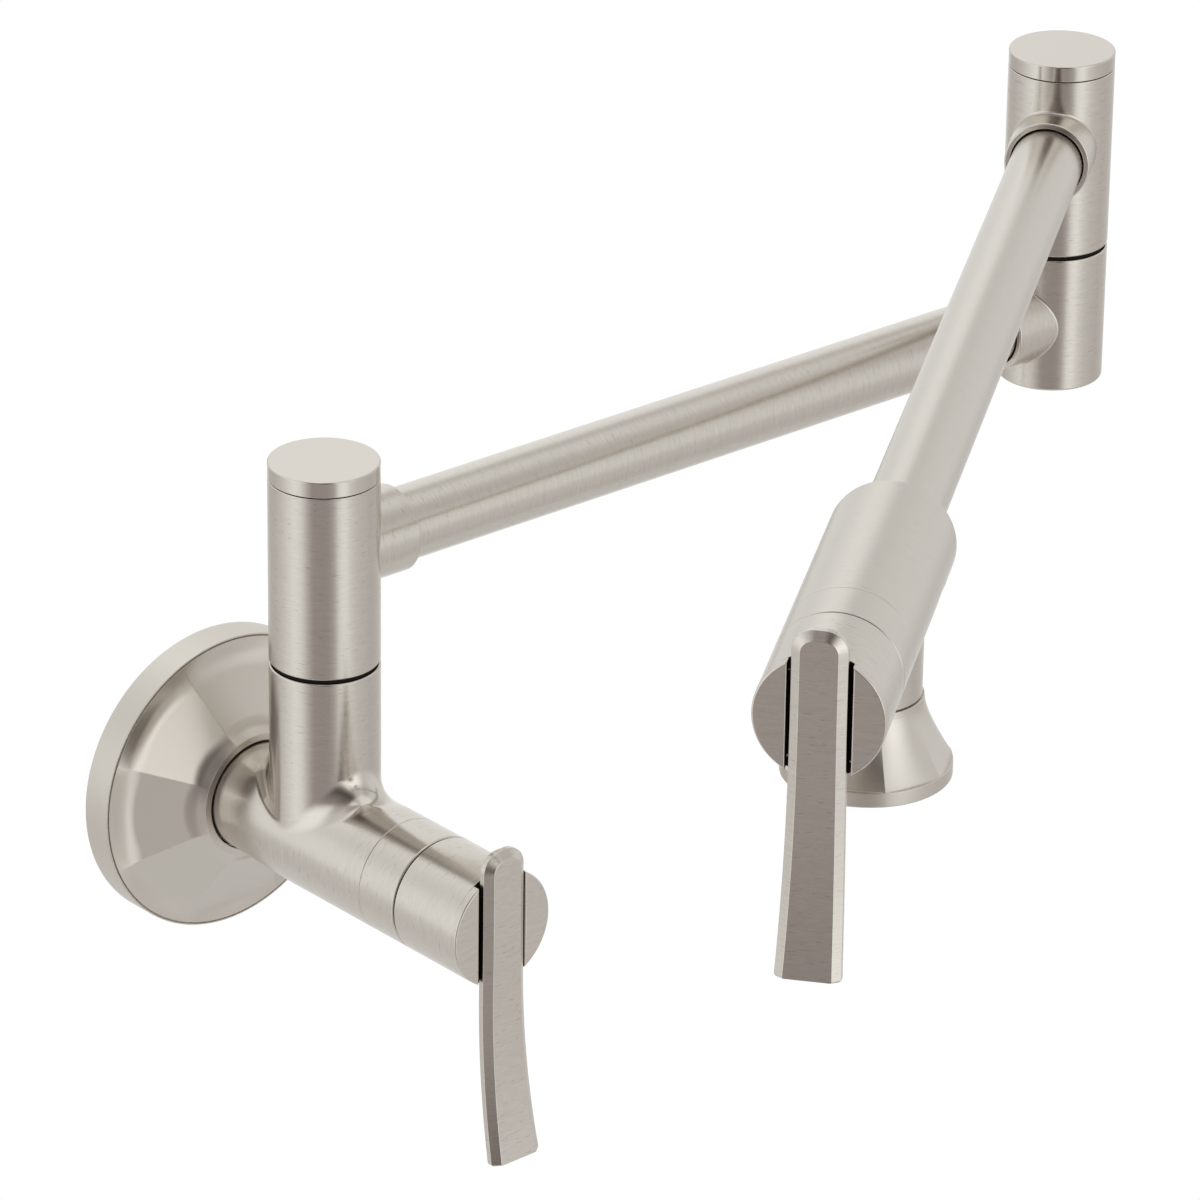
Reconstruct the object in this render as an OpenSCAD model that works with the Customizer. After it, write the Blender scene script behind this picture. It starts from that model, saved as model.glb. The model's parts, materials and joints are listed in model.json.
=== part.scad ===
// Wall-mounted pot filler with two swivel joints and two quarter-turn valves.
// The origin is the centre of the inlet mouth in the wall plane, the arms reach out along -Y, and +Z is up.

/* [Wall flange] */
// Diameter of the round flange on the wall
flange_d = 89.8; // [86:0.1:94]
// Thickness of the flange's round rim
rim_t = 10.1; // [9:0.1:11]
// How far the flange's collar stands off the wall
flange_depth = 22.6; // [22:0.1:24]
// Outer diameter of the collar round the barrel
collar_ring_d = 37.8; // [37:0.1:39]
// Width across the ridges of the eight facets where they leave the rim
facet_base_d = 82; // [78:0.5:84]
// Gap between the barrel and the flange, all round
flange_gap = 0.6; // [0.4:0.1:1]
// Wall of the flange
flange_wall = 2.5; // [2:0.1:3]
// Inner diameter of the foam gasket
gasket_d = 76; // [75:0.5:78]
// Width of the foam gasket
gasket_w = 4; // [3:0.5:4]
// Thickness of the foam gasket
gasket_t = 2; // [1:0.5:3]

/* [Wall body] */
// Distance from the wall to the axis of the first column
wall_to_column = 53.7; // [52:0.1:60]
// Diameter of the valve bodies, bonnets and handle hubs
body_d = 34.4; // [34:0.1:36]
// Diameter of the barrel that runs back into the flange
barrel_d = 32.2; // [32:0.1:33]
// Radius of the blend between the body and the first column
tee_blend = 9; // [6:0.5:10]
// Bore of the 1/2 in inlet thread
inlet_bore_d = 18.5; // [18:0.1:19]
// Depth of the inlet thread
inlet_depth = 18; // [14:1:20]
// Bore of the waterways
waterway_d = 12; // [10:0.5:13]

/* [Columns] */
// Diameter of both columns
column_d = 31.75; // [31:0.25:33]
// Height of the lower half of column 1 above the body's axis
swivel_1_height = 54; // [50:0.5:60]
// Dark gap between the halves of a column
swivel_gap = 1.2; // [1.2:0.1:1.6]
// Height of the upper half of a column with its cap
head_height = 60.7; // [60:0.1:64]
// Height of the arm's axis above the foot of a column's upper half
head_arm_height = 33.3; // [33:0.1:35]
// Height of the caps
cap_height = 5; // [4:0.1:5.5]
// Length of column 2 below the axis of arm 1
elbow_drop = 20.3; // [19:0.1:22]
// Height of the lower half of column 2 above the axis of arm 1
elbow_rise = 22; // [22:0.1:26]

/* [Arms] */
// Diameter of the arm tubes
tube_d = 21.2; // [20:0.1:21.4]
// Wall of the arm tubes
tube_wall = 1.5; // [1:0.1:2]
// Diameter of the collars that hold the tubes
collar_d = 25.5; // [25.4:0.1:26]
// Reach of a collar from its column's axis
collar_reach = 24.7; // [24:0.1:27]
// Length of arm 1 between the columns' axes
arm_1_length = 279.2; // [200:1:300]
// Reach of arm 2 from column 2 to the outlet
arm_2_reach = 332; // [320:1:360]
// Direction of arm 1 from the wall's +X, as it stands
arm_1_angle = -1.15; // [-20:0.01:0]
// Direction of arm 2 from the wall's +X, as it stands
arm_2_angle = -142.91; // [-160:0.01:-110]

/* [Valves] */
// Distance from a valve's cross axis to the bonnet
nose_length = 35.6; // [35:0.1:37]
// Distance from the outlet's axis back to the end of the spout body
tail_length = 33.3; // [32:0.1:36]
// Length of the bonnet ring
bonnet_length = 14.8; // [14:0.1:16]
// Gap between the bonnet and the turning hub
hub_gap = 0.4; // [0.3:0.05:0.6]
// Length of the hub
hub_length = 26.7; // [26:0.1:29]
// Diameter of the cartridge chamber
chamber_d = 22.4; // [22:0.1:23]
// Diameter of the bonnet's thread
bonnet_thread_d = 28; // [27.5:0.1:28.6]
// Diameter of the cartridge stem
stem_d = 8; // [7.6:0.1:8.4]

/* [Handle lever] */
// Width of the slot across the hub
slot_w = 16.6; // [16:0.1:18]
// Depth of the slot
slot_depth = 2.4; // [2:0.1:3]
// Half width of the lever in the slot
lever_half_w = 7.25; // [7:0.05:7.6]
// Half width that the lever gains towards its tip
lever_flare = 1.45; // [0.5:0.05:2]
// Height of the lever's top above the hub's axis
lever_top = 24.6; // [23:0.1:26]
// Length of the lever below the hub's axis
lever_length = 70; // [60:1:76]
// Thickness of the lever
lever_t = 3.6; // [3.3:0.1:4]
// How far the lever's face stands out of the hub's face
lever_proud = 2.2; // [2:0.1:2.6]
// Width of the bevel round the lever's face
bevel_w = 2; // [1:0.1:2.4]
// Depth of the bevel round the lever's face
bevel_h = 1.8; // [1:0.1:2]
// Corner radius at the lever's top
lever_corner = 6; // [5:0.1:6.5]
// Distance below the hub's axis where the lever starts to curve out
curve_start = 17.6; // [17:0.1:30]
// Radius of the lever's outward curve
curve_r = 235; // [180:5:400]

/* [Outlet] */
// Diameter of the neck under the spout body
neck_d = 28.3; // [27:0.1:29]
// Distance from the arm's axis down to the foot of the neck
neck_drop = 28.3; // [27:0.1:30]
// Height of the bell
bell_height = 23.1; // [22:0.1:26]
// Diameter of the bell at its top
bell_top_d = 29.4; // [29.2:0.1:30]
// Diameter of the bell's rim
bell_rim_d = 45.5; // [43:0.1:48]
// Height of the bell's upright rim
bell_rim_h = 4.2; // [3:0.1:5]
// Diameter of the aerator
aerator_d = 25; // [24:0.1:25.6]
// Depth of the aerator's face inside the bell
mouth_depth = 6; // [5:0.1:6.5]
// Diameter of the flared mouth at the bell's foot
mouth_d = 36; // [32:0.5:38]

/* [Hidden] */
$fn = 96;
// Radial play of a shaft that turns in its bore
running_play = 0.05;
// Radial play of a piece that is screwed or pressed in
seat_play = 0.1;
// End play between faces that turn on each other
face_play = 0.1;
// Overrun of every cut
over = 0.5;
// Small edge break on turned pieces
edge = 0.5;

// Colours
nickel = "#c6beb3";
brass = "#caa650";
steel = "#b4b6b8";
nylon = "#e6e1d6";
rubber = "#202022";
ceramic = "#efece4";
foam = "#3a3a3c";
plastic = "#dfe3e4";

// Radii and levels that follow from the sizes above
body_r = body_d / 2;
barrel_r = barrel_d / 2;
column_r = column_d / 2;
tube_r = tube_d / 2;
collar_r = collar_d / 2;
waterway_r = waterway_d / 2;
chamber_r = chamber_d / 2;
stem_r = stem_d / 2;
bell_r = bell_rim_d / 2;
aerator_r = aerator_d / 2;

arm_1_height = swivel_1_height + swivel_gap + head_arm_height;
swivel_2_height = arm_1_height + elbow_rise;
arm_2_height = swivel_2_height + swivel_gap + head_arm_height;

// Slope of the flange's facets
facet_share = 0.5;
facet_top_r = collar_ring_d / 2 - flange_wall / 2;
// Distance behind the column's axis where the barrel's taper ends
taper_end = 3;
// Seats of the gasket and the rubber ring in the flange
flange_bore_r = barrel_r + flange_gap;
gasket_land = 1.5;
hollow_r = gasket_d / 2 - gasket_land;
o_ring_r = 0.8;
groove_room = 1;
groove_w = 2 * o_ring_r + groove_room;
flange_o_ring_r = flange_bore_r - o_ring_r - running_play;
flange_o_ring_inset = 2.6;
flange_o_ring_level = flange_depth - flange_o_ring_inset;

// Swivel inside, measured from the top of a column's lower half
post_r = 10.5;
post_bore_r = post_r + running_play;
post_neck_r = 6.5;
post_drop_1 = 26;
post_foot_ledge = 1.5;
post_drop_2 = elbow_rise - tube_r - post_foot_ledge;
recess_h = 6;
web_t = 3;
web_level = head_height - cap_height - recess_h - web_t;
nut_r = 9.5;
nut_t = 4;
recess_wall = 2.9;
recess_r = column_r - recess_wall;
cap_spigot_w = 2.4;
cap_spigot_h = 4.6;
port_groove_r = 8.5;
port_groove_h = 16;
port_r = 3.2;
port_count = 4;
seal_offset = 11;
post_ring_r = post_bore_r - o_ring_r - running_play;
washer_inset = 0.9;
socket_wall = 2.4;
tube_seat = column_r - socket_wall;
tube_bore_r = tube_r - tube_wall;
mouth_gap = 0.5;
mouth_gap_depth = 3;
elbow_floor = 5;

// Cartridge, measured along a valve's axis from its cross axis
seat_depth = 11;
seat_level = -seat_depth;
seal_t = 1.8;
disc_t = 3;
disc_wall = 2.4;
disc_r = chamber_r - disc_wall;
disc_hole_r = 3;
foot_t = 3;
shell_r = chamber_r - seat_play;
shell_inner_r = disc_r + 3 * seat_play;
shell_top = 13;
window_r = 4;
window_level = 4;
shoulder_level = 19;
shoulder_t = 4;
cartridge_neck_r = 7.5;
cartridge_neck_top = 40;
stem_ring_level = 30;
stem_ring_r = stem_r + o_ring_r + running_play;
bonnet_face = nose_length + bonnet_length;
bonnet_thread_r = bonnet_thread_d / 2 - seat_play;
hub_level = bonnet_face + hub_gap;
hub_face = hub_level + hub_length;
slot_floor = hub_face - slot_depth;
stem_grip = 15.6;
stem_top = hub_level + stem_grip;
screw_pocket = 3.6;
screw_seat = stem_top + screw_pocket;
hub_recess_r = 12;
hub_recess_h = 3;

// Lever and its screws
lever_face = hub_face + lever_proud;
lever_back = lever_face - lever_t;
boss_r = 5;
lever_screw_r = 1.5;
lever_screw_head_r = 3.2;
lever_screw_head_h = 2.5;
lever_screw_cover = 1.6;
lever_screw_reach = lever_face - lever_screw_cover;
set_screw_r = 2;
set_screw_length = 8;
set_screw_offset = 7.2;
set_screw_level = hub_level + set_screw_offset;
socket_r = 1.15;
socket_depth = 2;
lever_rows = 30;
corner_rows = 8;

// Outlet inside
spigot_step = 1.1;
spigot_r = aerator_r - spigot_step;
spigot_length = 9.6;
spigot_play = 0.4;
washer_t = 1.5;
outlet_bore_r = 8;
insert_wall = 2;
insert_lip = 1;
screen_t = 0.6;
screen_lift = 0.6;
screen_pitch = 2.4;
screen_hole = 1.7;
rib_t = 1.2;
bell_curve_shares = [[0, 0], [0.13, 0.19], [0.31, 0.43], [0.49, 0.64], [0.67, 0.84], [0.84, 0.95], [1, 1]];

// A bar between two levels on the Z axis
module bar(r, from, to) {
  translate([0, 0, from])
    cylinder(r = r, h = to - from);
}

// A bar whose far edge is broken
module broken_bar(r, from, to) {
  rotate_extrude()
    polygon([[0, from], [r, from], [r, to - edge], [r - edge, to], [0, to]]);
}

// A flat ring between two levels
module ring(inner, outer, from, to) {
  difference() {
    bar(outer, from, to);
    bar(inner, from - over, to + over);
  }
}

// A rubber ring round the Z axis
module o_ring(r, level) {
  translate([0, 0, level])
    rotate_extrude()
      translate([r, 0])
        circle(r = o_ring_r, $fn = 32);
}

// Places in the part's frame. A valve's own frame has Z along its axis, outwards, and Y up
module at_wall() {
  rotate([90, 0, 0]) children();
}
module at_column_1() {
  translate([0, -wall_to_column, 0])
    rotate([0, 0, arm_1_angle]) children();
}
module at_column_2() {
  at_column_1()
    translate([arm_1_length, 0, 0]) children();
}
module at_arm_2() {
  at_column_2()
    rotate([0, 0, arm_2_angle - arm_1_angle]) children();
}
module at_outlet() {
  at_arm_2()
    translate([arm_2_reach, 0, arm_2_height]) children();
}
module at_valve(number) {
  if (number == 1) {
    translate([0, -wall_to_column, 0])
      rotate([90, 0, 0]) children();
  } else {
    at_outlet() rotate([90, 0, 90]) children();
  }
}

// Wall flange: a round rim, an eight-sided pyramid and a collar, hollow behind
module wall_flange() {
  color(nickel) at_wall() difference() {
    union() {
      broken_bar(flange_d / 2, 0, rim_t);
      translate([0, 0, rim_t - over])
        rotate([0, 0, 22.5])
          cylinder(r1 = facet_base_d / 2 + over / facet_share, r2 = facet_top_r,
            h = (facet_base_d / 2 - facet_top_r) * facet_share + over, $fn = 8);
      broken_bar(collar_ring_d / 2, 0, flange_depth);
    }
    bar(hollow_r, -over, rim_t - flange_wall);
    translate([0, 0, rim_t - flange_wall - over])
      cylinder(r1 = facet_base_d / 2 * cos(22.5) - 2 * flange_wall, r2 = flange_bore_r + over,
        h = flange_o_ring_level - groove_w - rim_t + flange_wall + over);
    bar(flange_bore_r, -over, flange_depth + over);
    ring(gasket_d / 2, gasket_d / 2 + gasket_w, -over, gasket_t);
  }
}

module flange_gasket() {
  color(foam) at_wall()
    ring(gasket_d / 2, gasket_d / 2 + gasket_w, 0, gasket_t);
}

module flange_o_ring() {
  color(rubber) at_wall() o_ring(flange_o_ring_r, flange_o_ring_level);
}

// Room for the cartridge and the bonnet's thread in a valve body
module cartridge_room() {
  bar(chamber_r, seat_level, shoulder_level);
  bar(bonnet_thread_d / 2, shoulder_level, nose_length + over);
}

// Concave skirt round the foot of the first column, kept to the crown of the body
module tee_skirt() {
  steps = 8;
  skirt_r = column_r + tee_blend;
  skirt_top = body_r + tee_blend;
  arc = [for (i = [0:steps]) let (a = 90 * i / steps)
    [skirt_r - tee_blend * cos(a), skirt_top - tee_blend * sin(a)]];
  intersection() {
    rotate([-90, 0, 0])
      rotate_extrude()
        polygon(concat([[column_r / 2, 0], [column_r / 2, skirt_top]], arc, [[skirt_r, 0]]));
    translate([0, 0, -skirt_r])
      linear_extrude(2 * skirt_r)
        polygon([[-column_r, 0], [column_r, 0], [column_r, column_r / 2], [column_r / 2, skirt_top],
          [-column_r / 2, skirt_top], [-column_r, column_r / 2]]);
  }
}

// Tee of inlet barrel, valve chamber and the lower half of column 1
module wall_body() {
  color(nickel) at_valve(1) difference() {
    union() {
      bar(barrel_r, -wall_to_column, flange_depth - wall_to_column);
      translate([0, 0, flange_depth - wall_to_column])
        cylinder(r1 = barrel_r, r2 = body_r, h = wall_to_column - flange_depth - taper_end);
      bar(body_r, -taper_end, nose_length);
      rotate([-90, 0, 0]) bar(column_r, 0, swivel_1_height);
      tee_skirt();
    }
    bar(inlet_bore_d / 2, -wall_to_column - over, inlet_depth - wall_to_column);
    bar(waterway_r, -wall_to_column, seat_level + over);
    cartridge_room();
    rotate([-90, 0, 0]) bar(waterway_r, 0, swivel_1_height);
    rotate([-90, 0, 0])
      bar(post_r, swivel_1_height - post_drop_1 - over, swivel_1_height + over);
    translate([0, 0, flange_o_ring_level - wall_to_column])
      ring(flange_o_ring_r - o_ring_r - running_play, barrel_r + over, -groove_w / 2, groove_w / 2);
  }
}

// Cartridge shell with its inlet foot, side windows, shoulder and neck
module cartridge(number) {
  color(brass) at_valve(number) difference() {
    union() {
      bar(shell_r, seat_level + seal_t, shoulder_level);
      bar(bonnet_thread_d / 2 - seat_play, shoulder_level, shoulder_level + shoulder_t);
      bar(cartridge_neck_r, shoulder_level, cartridge_neck_top);
    }
    bar(shell_inner_r, seat_level, shell_top);
    bar(stem_r + running_play, 0, cartridge_neck_top + over);
    for (turn = [0, 90])
      translate([0, 0, window_level])
        rotate([0, 90, turn]) bar(window_r, -chamber_r - over, chamber_r + over);
    translate([0, 0, stem_ring_level])
      bar(stem_ring_r + o_ring_r + running_play, -groove_w / 2, groove_w / 2);
  }
}

module cartridge_seal(number) {
  color(rubber) at_valve(number)
    ring(waterway_r, disc_r, seat_level, seat_level + seal_t);
}

module stem_seal(number) {
  color(rubber) at_valve(number) o_ring(stem_ring_r, stem_ring_level);
}

// Ceramic disc with a port on each side
module disc(from) {
  difference() {
    bar(disc_r, from, from + disc_t);
    for (side = [-1, 1])
      translate([side * disc_r / 2, 0, 0])
        bar(disc_hole_r, from - over, from + disc_t + over);
  }
}

module fixed_disc(number) {
  color(ceramic) at_valve(number) disc(seat_level + seal_t);
}

module moving_disc(number) {
  color(ceramic) at_valve(number)
    rotate([0, 0, 90]) disc(seat_level + seal_t + disc_t + face_play);
}

// Stem with the foot that turns the moving disc
module stem(number) {
  foot_level = seat_level + seal_t + 2 * disc_t + face_play;
  color(brass) at_valve(number) {
    bar(stem_r, foot_level, stem_top);
    bar(disc_r, foot_level, foot_level + foot_t);
  }
}

module bonnet(number) {
  color(nickel) at_valve(number) difference() {
    union() {
      bar(bonnet_thread_r, shoulder_level + shoulder_t, nose_length);
      broken_bar(body_r, nose_length, bonnet_face);
    }
    bar(cartridge_neck_r + seat_play, shoulder_level, cartridge_neck_top + seat_play);
    bar(stem_r + edge, 0, bonnet_face + over);
  }
}

// Handle hub: slot across the face, stem bore behind, set screw from below
module hub(number) {
  color(nickel) at_valve(number) difference() {
    broken_bar(body_r, hub_level, hub_face);
    translate([-slot_w / 2, -body_r - over, slot_floor])
      cube([slot_w, body_d + 2 * over, slot_depth + over]);
    bar(hub_recess_r, hub_level - over, hub_level + hub_recess_h);
    bar(stem_r + running_play, hub_level, screw_seat);
    bar(lever_screw_r + seat_play, hub_level, slot_floor + over);
    translate([0, 0, set_screw_level])
      rotate([90, 0, 0]) bar(set_screw_r + running_play, 0, body_r + over);
  }
}

// Half width, top corner and face of the lever at a height on the hub
function flare_share(y) = max(0, lever_half_w - y) / (lever_half_w + lever_length);
function straight_half_w(y) = lever_half_w + lever_flare * pow(flare_share(y), 2);
function corner_cut(y, top, r) = y <= top - r ? 0 : r - sqrt(max(0, r * r - pow(y - top + r, 2)));
function outer_half_w(y) = straight_half_w(y) - corner_cut(y, lever_top, lever_corner);
function face_half_w(y) = y <= lever_top - bevel_w
  ? straight_half_w(y) - bevel_w - corner_cut(y, lever_top - bevel_w, lever_corner - bevel_w)
  : lever_half_w - lever_corner;
function curve_out(y) = let (d = max(0, -curve_start - y)) curve_r - sqrt(curve_r * curve_r - d * d);
function face_drop(y) = bevel_h * (1 - min(1, (lever_top - y) / bevel_w));
function lever_row(y) = let (out = curve_out(y), outer = outer_half_w(y), inner = face_half_w(y),
    side = lever_face + out - bevel_h, front = lever_face + out - face_drop(y), back = lever_back + out)
  [[-outer, y, back], [outer, y, back], [outer, y, side], [inner, y, front], [-inner, y, front],
    [-outer, y, side]];

// Lever lofted from rows of six points, with the boss that stands on the slot's floor
module lever(number) {
  low = -lever_length;
  corner = lever_top - lever_corner;
  heights = concat([for (i = [0:lever_rows - 1]) low + (corner - low) * i / lever_rows],
    [for (i = [0:corner_rows]) corner + lever_corner * sin(90 * i / corner_rows)]);
  rows = [for (y = heights) lever_row(y)];
  last = len(rows) - 1;
  sides = 6;
  color(nickel) at_valve(number) difference() {
    union() {
      polyhedron(
        points = [for (row = rows) each row],
        faces = concat(
          [[for (k = [sides - 1:-1:0]) k]],
          [for (i = [0:last - 1], k = [0:sides - 1])
            each let (a = i * sides + k, b = i * sides + (k + 1) % sides)
              [[a, b + sides, a + sides], [a, b, b + sides]]],
          [[for (k = [0:sides - 1]) last * sides + k]]));
      bar(boss_r, slot_floor, lever_back + over);
    }
    bar(lever_screw_r + running_play, slot_floor - over, lever_screw_reach);
  }
}

module lever_screw(number) {
  color(steel) at_valve(number) difference() {
    union() {
      bar(lever_screw_head_r, screw_seat - lever_screw_head_h, screw_seat);
      bar(lever_screw_r, screw_seat, lever_screw_reach);
    }
    translate([0, 0, screw_seat - lever_screw_head_h - over])
      cylinder(r = socket_r, h = socket_depth / 2 + over, $fn = 6);
  }
}

module hub_set_screw(number) {
  tip = stem_r + running_play;
  color(steel) at_valve(number)
    translate([0, 0, set_screw_level])
      rotate([90, 0, 0]) difference() {
        bar(set_screw_r, tip, tip + set_screw_length);
        translate([0, 0, tip + set_screw_length - socket_depth])
          cylinder(r = socket_r, h = socket_depth + over, $fn = 6);
      }
}

// Swivel post: threaded foot, running shank with two seal grooves, side ports and a neck for the nut
module swivel_post(drop) {
  arm_level = swivel_gap + head_arm_height;
  neck_level = swivel_gap + web_level;
  color(brass) difference() {
    union() {
      bar(post_r - seat_play, -drop, 0);
      bar(post_r, 0, neck_level - face_play);
      bar(post_neck_r, neck_level - over, neck_level + web_t + face_play + nut_t);
    }
    bar(waterway_r, -drop - over, arm_level + port_groove_h / 2);
    translate([0, 0, arm_level])
      ring(port_groove_r, post_r + over, -port_groove_h / 2, port_groove_h / 2);
    for (i = [0:port_count - 1])
      translate([0, 0, arm_level])
        rotate([0, 90, 90 * i]) bar(port_r, 0, post_r);
    for (side = [-1, 1])
      translate([0, 0, arm_level + side * seal_offset])
        ring(post_ring_r - o_ring_r - running_play, post_r + over, -groove_w / 2, groove_w / 2);
  }
}

module post_o_rings() {
  color(rubber)
    for (side = [-1, 1])
      o_ring(post_ring_r, swivel_gap + head_arm_height + side * seal_offset);
}

module thrust_washer() {
  color(nylon)
    ring(post_r + running_play, column_r - washer_inset, 0, swivel_gap - face_play);
}

module post_nut() {
  level = swivel_gap + web_level + web_t + face_play;
  color(brass) difference() {
    translate([0, 0, level])
      cylinder(r = nut_r, h = nut_t, $fn = 6);
    bar(post_neck_r + running_play, level - over, level + nut_t + over);
  }
}

// Collar of a column with its tube socket along +X
module collar_bar(height) {
  translate([0, 0, height])
    rotate([0, 90, 0]) broken_bar(collar_r, 0, collar_reach);
}
module collar_room(height) {
  translate([0, 0, height]) rotate([0, 90, 0]) {
    bar(tube_bore_r, 0, tube_seat + over);
    bar(tube_r + running_play, tube_seat, collar_reach + over);
    bar(tube_r + mouth_gap, collar_reach - mouth_gap_depth, collar_reach + over);
  }
}

// Upper half of a column, measured from the top of the lower half
module swivel_head() {
  foot = swivel_gap;
  top = swivel_gap + head_height - cap_height;
  color(nickel) difference() {
    union() {
      bar(column_r, foot, top);
      collar_bar(foot + head_arm_height);
    }
    bar(post_bore_r, foot - over, foot + web_level);
    bar(post_neck_r + running_play, foot, top);
    bar(recess_r, foot + web_level + web_t, top + over);
    collar_room(foot + head_arm_height);
  }
}

module cap() {
  level = swivel_gap + head_height - cap_height;
  color(nickel) {
    broken_bar(column_r, level, level + cap_height);
    ring(recess_r - seat_play - cap_spigot_w, recess_r - seat_play, level - cap_spigot_h, level + edge);
  }
}

module arm_tube(from, to) {
  color(nickel) rotate([0, 90, 0])
    ring(tube_bore_r, tube_r, from, to);
}

// Lower half of column 2: closed foot, collar back towards column 1, socket for the second post
module elbow_lower() {
  color(nickel) difference() {
    union() {
      bar(column_r, arm_1_height - elbow_drop, swivel_2_height);
      mirror([1, 0, 0]) collar_bar(arm_1_height);
    }
    bar(post_r, arm_1_height - elbow_drop + elbow_floor, swivel_2_height + over);
    mirror([1, 0, 0]) collar_room(arm_1_height);
  }
}

// Spout body: valve chamber along the arm, tube socket behind and the outlet neck below
module spout_body() {
  color(nickel) at_valve(2) difference() {
    union() {
      rotate([180, 0, 0]) broken_bar(body_r, -nose_length, tail_length);
      rotate([90, 0, 0]) bar(neck_d / 2, 0, neck_drop);
      rotate([90, 0, 0]) bar(spigot_r, 0, neck_drop + spigot_length);
    }
    cartridge_room();
    bar(waterway_r, -tail_length, seat_level + over);
    bar(tube_r + running_play, -tail_length - over, tube_seat - tail_length);
    rotate([90, 0, 0]) bar(outlet_bore_r, 0, neck_drop + spigot_length + over);
  }
}

// Height and radius of the bell at a share of its curve
function bell_point(s) = [bell_r + (bell_top_d / 2 - bell_r) * s[1],
  -neck_drop - bell_height + bell_rim_h + (bell_height - bell_rim_h) * s[0]];

// Flared bell with its aerator bore and cone-shaped mouth, measured from the arm's axis
module outlet_bell() {
  low = -neck_drop - bell_height;
  color(nickel) at_outlet() difference() {
    rotate_extrude()
      polygon(concat([[0, -neck_drop], [0, low], [bell_r - edge, low], [bell_r, low + edge]],
        [for (s = bell_curve_shares) bell_point(s)]));
    bar(spigot_r + seat_play, -neck_drop - spigot_length, -neck_drop + over);
    bar(aerator_r + running_play, low + mouth_depth, -neck_drop - spigot_length + spigot_play);
    translate([0, 0, low - over])
      cylinder(r1 = mouth_d / 2 + over * (mouth_d / 2 - aerator_r) / mouth_depth,
        r2 = aerator_r + running_play, h = mouth_depth + over);
  }
}

module aerator_washer() {
  top = -neck_drop - spigot_length;
  color(rubber) at_outlet()
    ring(outlet_bore_r, aerator_r - running_play, top - washer_t, top);
}

// Plastic insert: a ring with a cross of ribs over the screen
module aerator_insert() {
  top = -neck_drop - spigot_length - washer_t;
  low = -neck_drop - bell_height + mouth_depth;
  color(plastic) at_outlet() {
    ring(aerator_r - insert_wall, aerator_r, low, top);
    ring(aerator_r - insert_wall - insert_lip, aerator_r, low, low + screen_lift);
    for (turn = [0, 90])
      rotate([0, 0, turn])
        translate([insert_lip - aerator_r, -rib_t / 2, low + screen_lift + screen_t])
          cube([2 * aerator_r - 2 * insert_lip, rib_t, top - low - screen_lift - screen_t]);
  }
}

// Square mesh screen under the ribs
module aerator_screen() {
  low = -neck_drop - bell_height + mouth_depth + screen_lift;
  reach = aerator_r - insert_wall - seat_play;
  steps = floor(reach / screen_pitch);
  color(steel) at_outlet() difference() {
    bar(reach, low, low + screen_t);
    for (i = [-steps:steps], j = [-steps:steps])
      if (norm([i, j]) * screen_pitch + screen_hole < reach)
        translate([i * screen_pitch - screen_hole / 2, j * screen_pitch - screen_hole / 2, low - over])
          cube([screen_hole, screen_hole, screen_t + 2 * over]);
  }
}

wall_flange();
flange_gasket();
flange_o_ring();
wall_body();
cartridge(1);  // cartridge_1
cartridge_seal(1);  // cartridge_seal_1
fixed_disc(1);  // fixed_disc_1
stem_seal(1);  // stem_seal_1
bonnet(1);  // bonnet_1
at_column_1() translate([0, 0, swivel_1_height]) swivel_post(post_drop_1);  // swivel_post_1
at_column_1() translate([0, 0, swivel_1_height]) post_o_rings();  // post_o_rings_1
at_column_1() translate([0, 0, swivel_1_height]) thrust_washer();  // thrust_washer_1
at_column_1() translate([0, 0, swivel_1_height]) post_nut();  // post_nut_1
hub(1);  // hub_1
lever(1);  // lever_1
lever_screw(1);  // lever_screw_1
hub_set_screw(1);  // hub_set_screw_1
stem(1);  // stem_1
moving_disc(1);  // moving_disc_1
at_column_1() translate([0, 0, swivel_1_height]) swivel_head();  // column_1
at_column_1() translate([0, 0, swivel_1_height]) cap();  // cap_1
at_column_1() translate([0, 0, arm_1_height]) arm_tube(tube_seat, arm_1_length - tube_seat);  // arm_tube_1
at_column_2() elbow_lower();  // column_2_lower
at_column_2() translate([0, 0, swivel_2_height]) swivel_post(post_drop_2);  // swivel_post_2
at_column_2() translate([0, 0, swivel_2_height]) post_o_rings();  // post_o_rings_2
at_column_2() translate([0, 0, swivel_2_height]) thrust_washer();  // thrust_washer_2
at_column_2() translate([0, 0, swivel_2_height]) post_nut();  // post_nut_2
at_arm_2() translate([0, 0, swivel_2_height]) swivel_head();  // column_2_upper
at_arm_2() translate([0, 0, swivel_2_height]) cap();  // cap_2
at_arm_2() translate([0, 0, arm_2_height]) arm_tube(tube_seat, arm_2_reach - tail_length + tube_seat);  // arm_tube_2
spout_body();
cartridge(2);  // cartridge_2
cartridge_seal(2);  // cartridge_seal_2
fixed_disc(2);  // fixed_disc_2
stem_seal(2);  // stem_seal_2
bonnet(2);  // bonnet_2
outlet_bell();
aerator_washer();
aerator_insert();
aerator_screen();
hub(2);  // hub_2
lever(2);  // lever_2
lever_screw(2);  // lever_screw_2
hub_set_screw(2);  // hub_set_screw_2
stem(2);  // stem_2
moving_disc(2);  // moving_disc_2
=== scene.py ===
# %% [markdown]
# # A wall-mounted pot filler in brushed nickel
# This lesson dresses a finished construction model of a pot filler: the tap over a stove, with two
# swivelling arms, a lever valve at the wall and another at the spout. The construction model fixes every
# size and joint. Here each piece that shows is modelled again with the small edges and blends that catch
# the light, and every metal gets its brushed grain.

# %% Load the frame
import json
import math

import bmesh
import bpy
import numpy as np
from mathutils import Matrix, Vector


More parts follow.
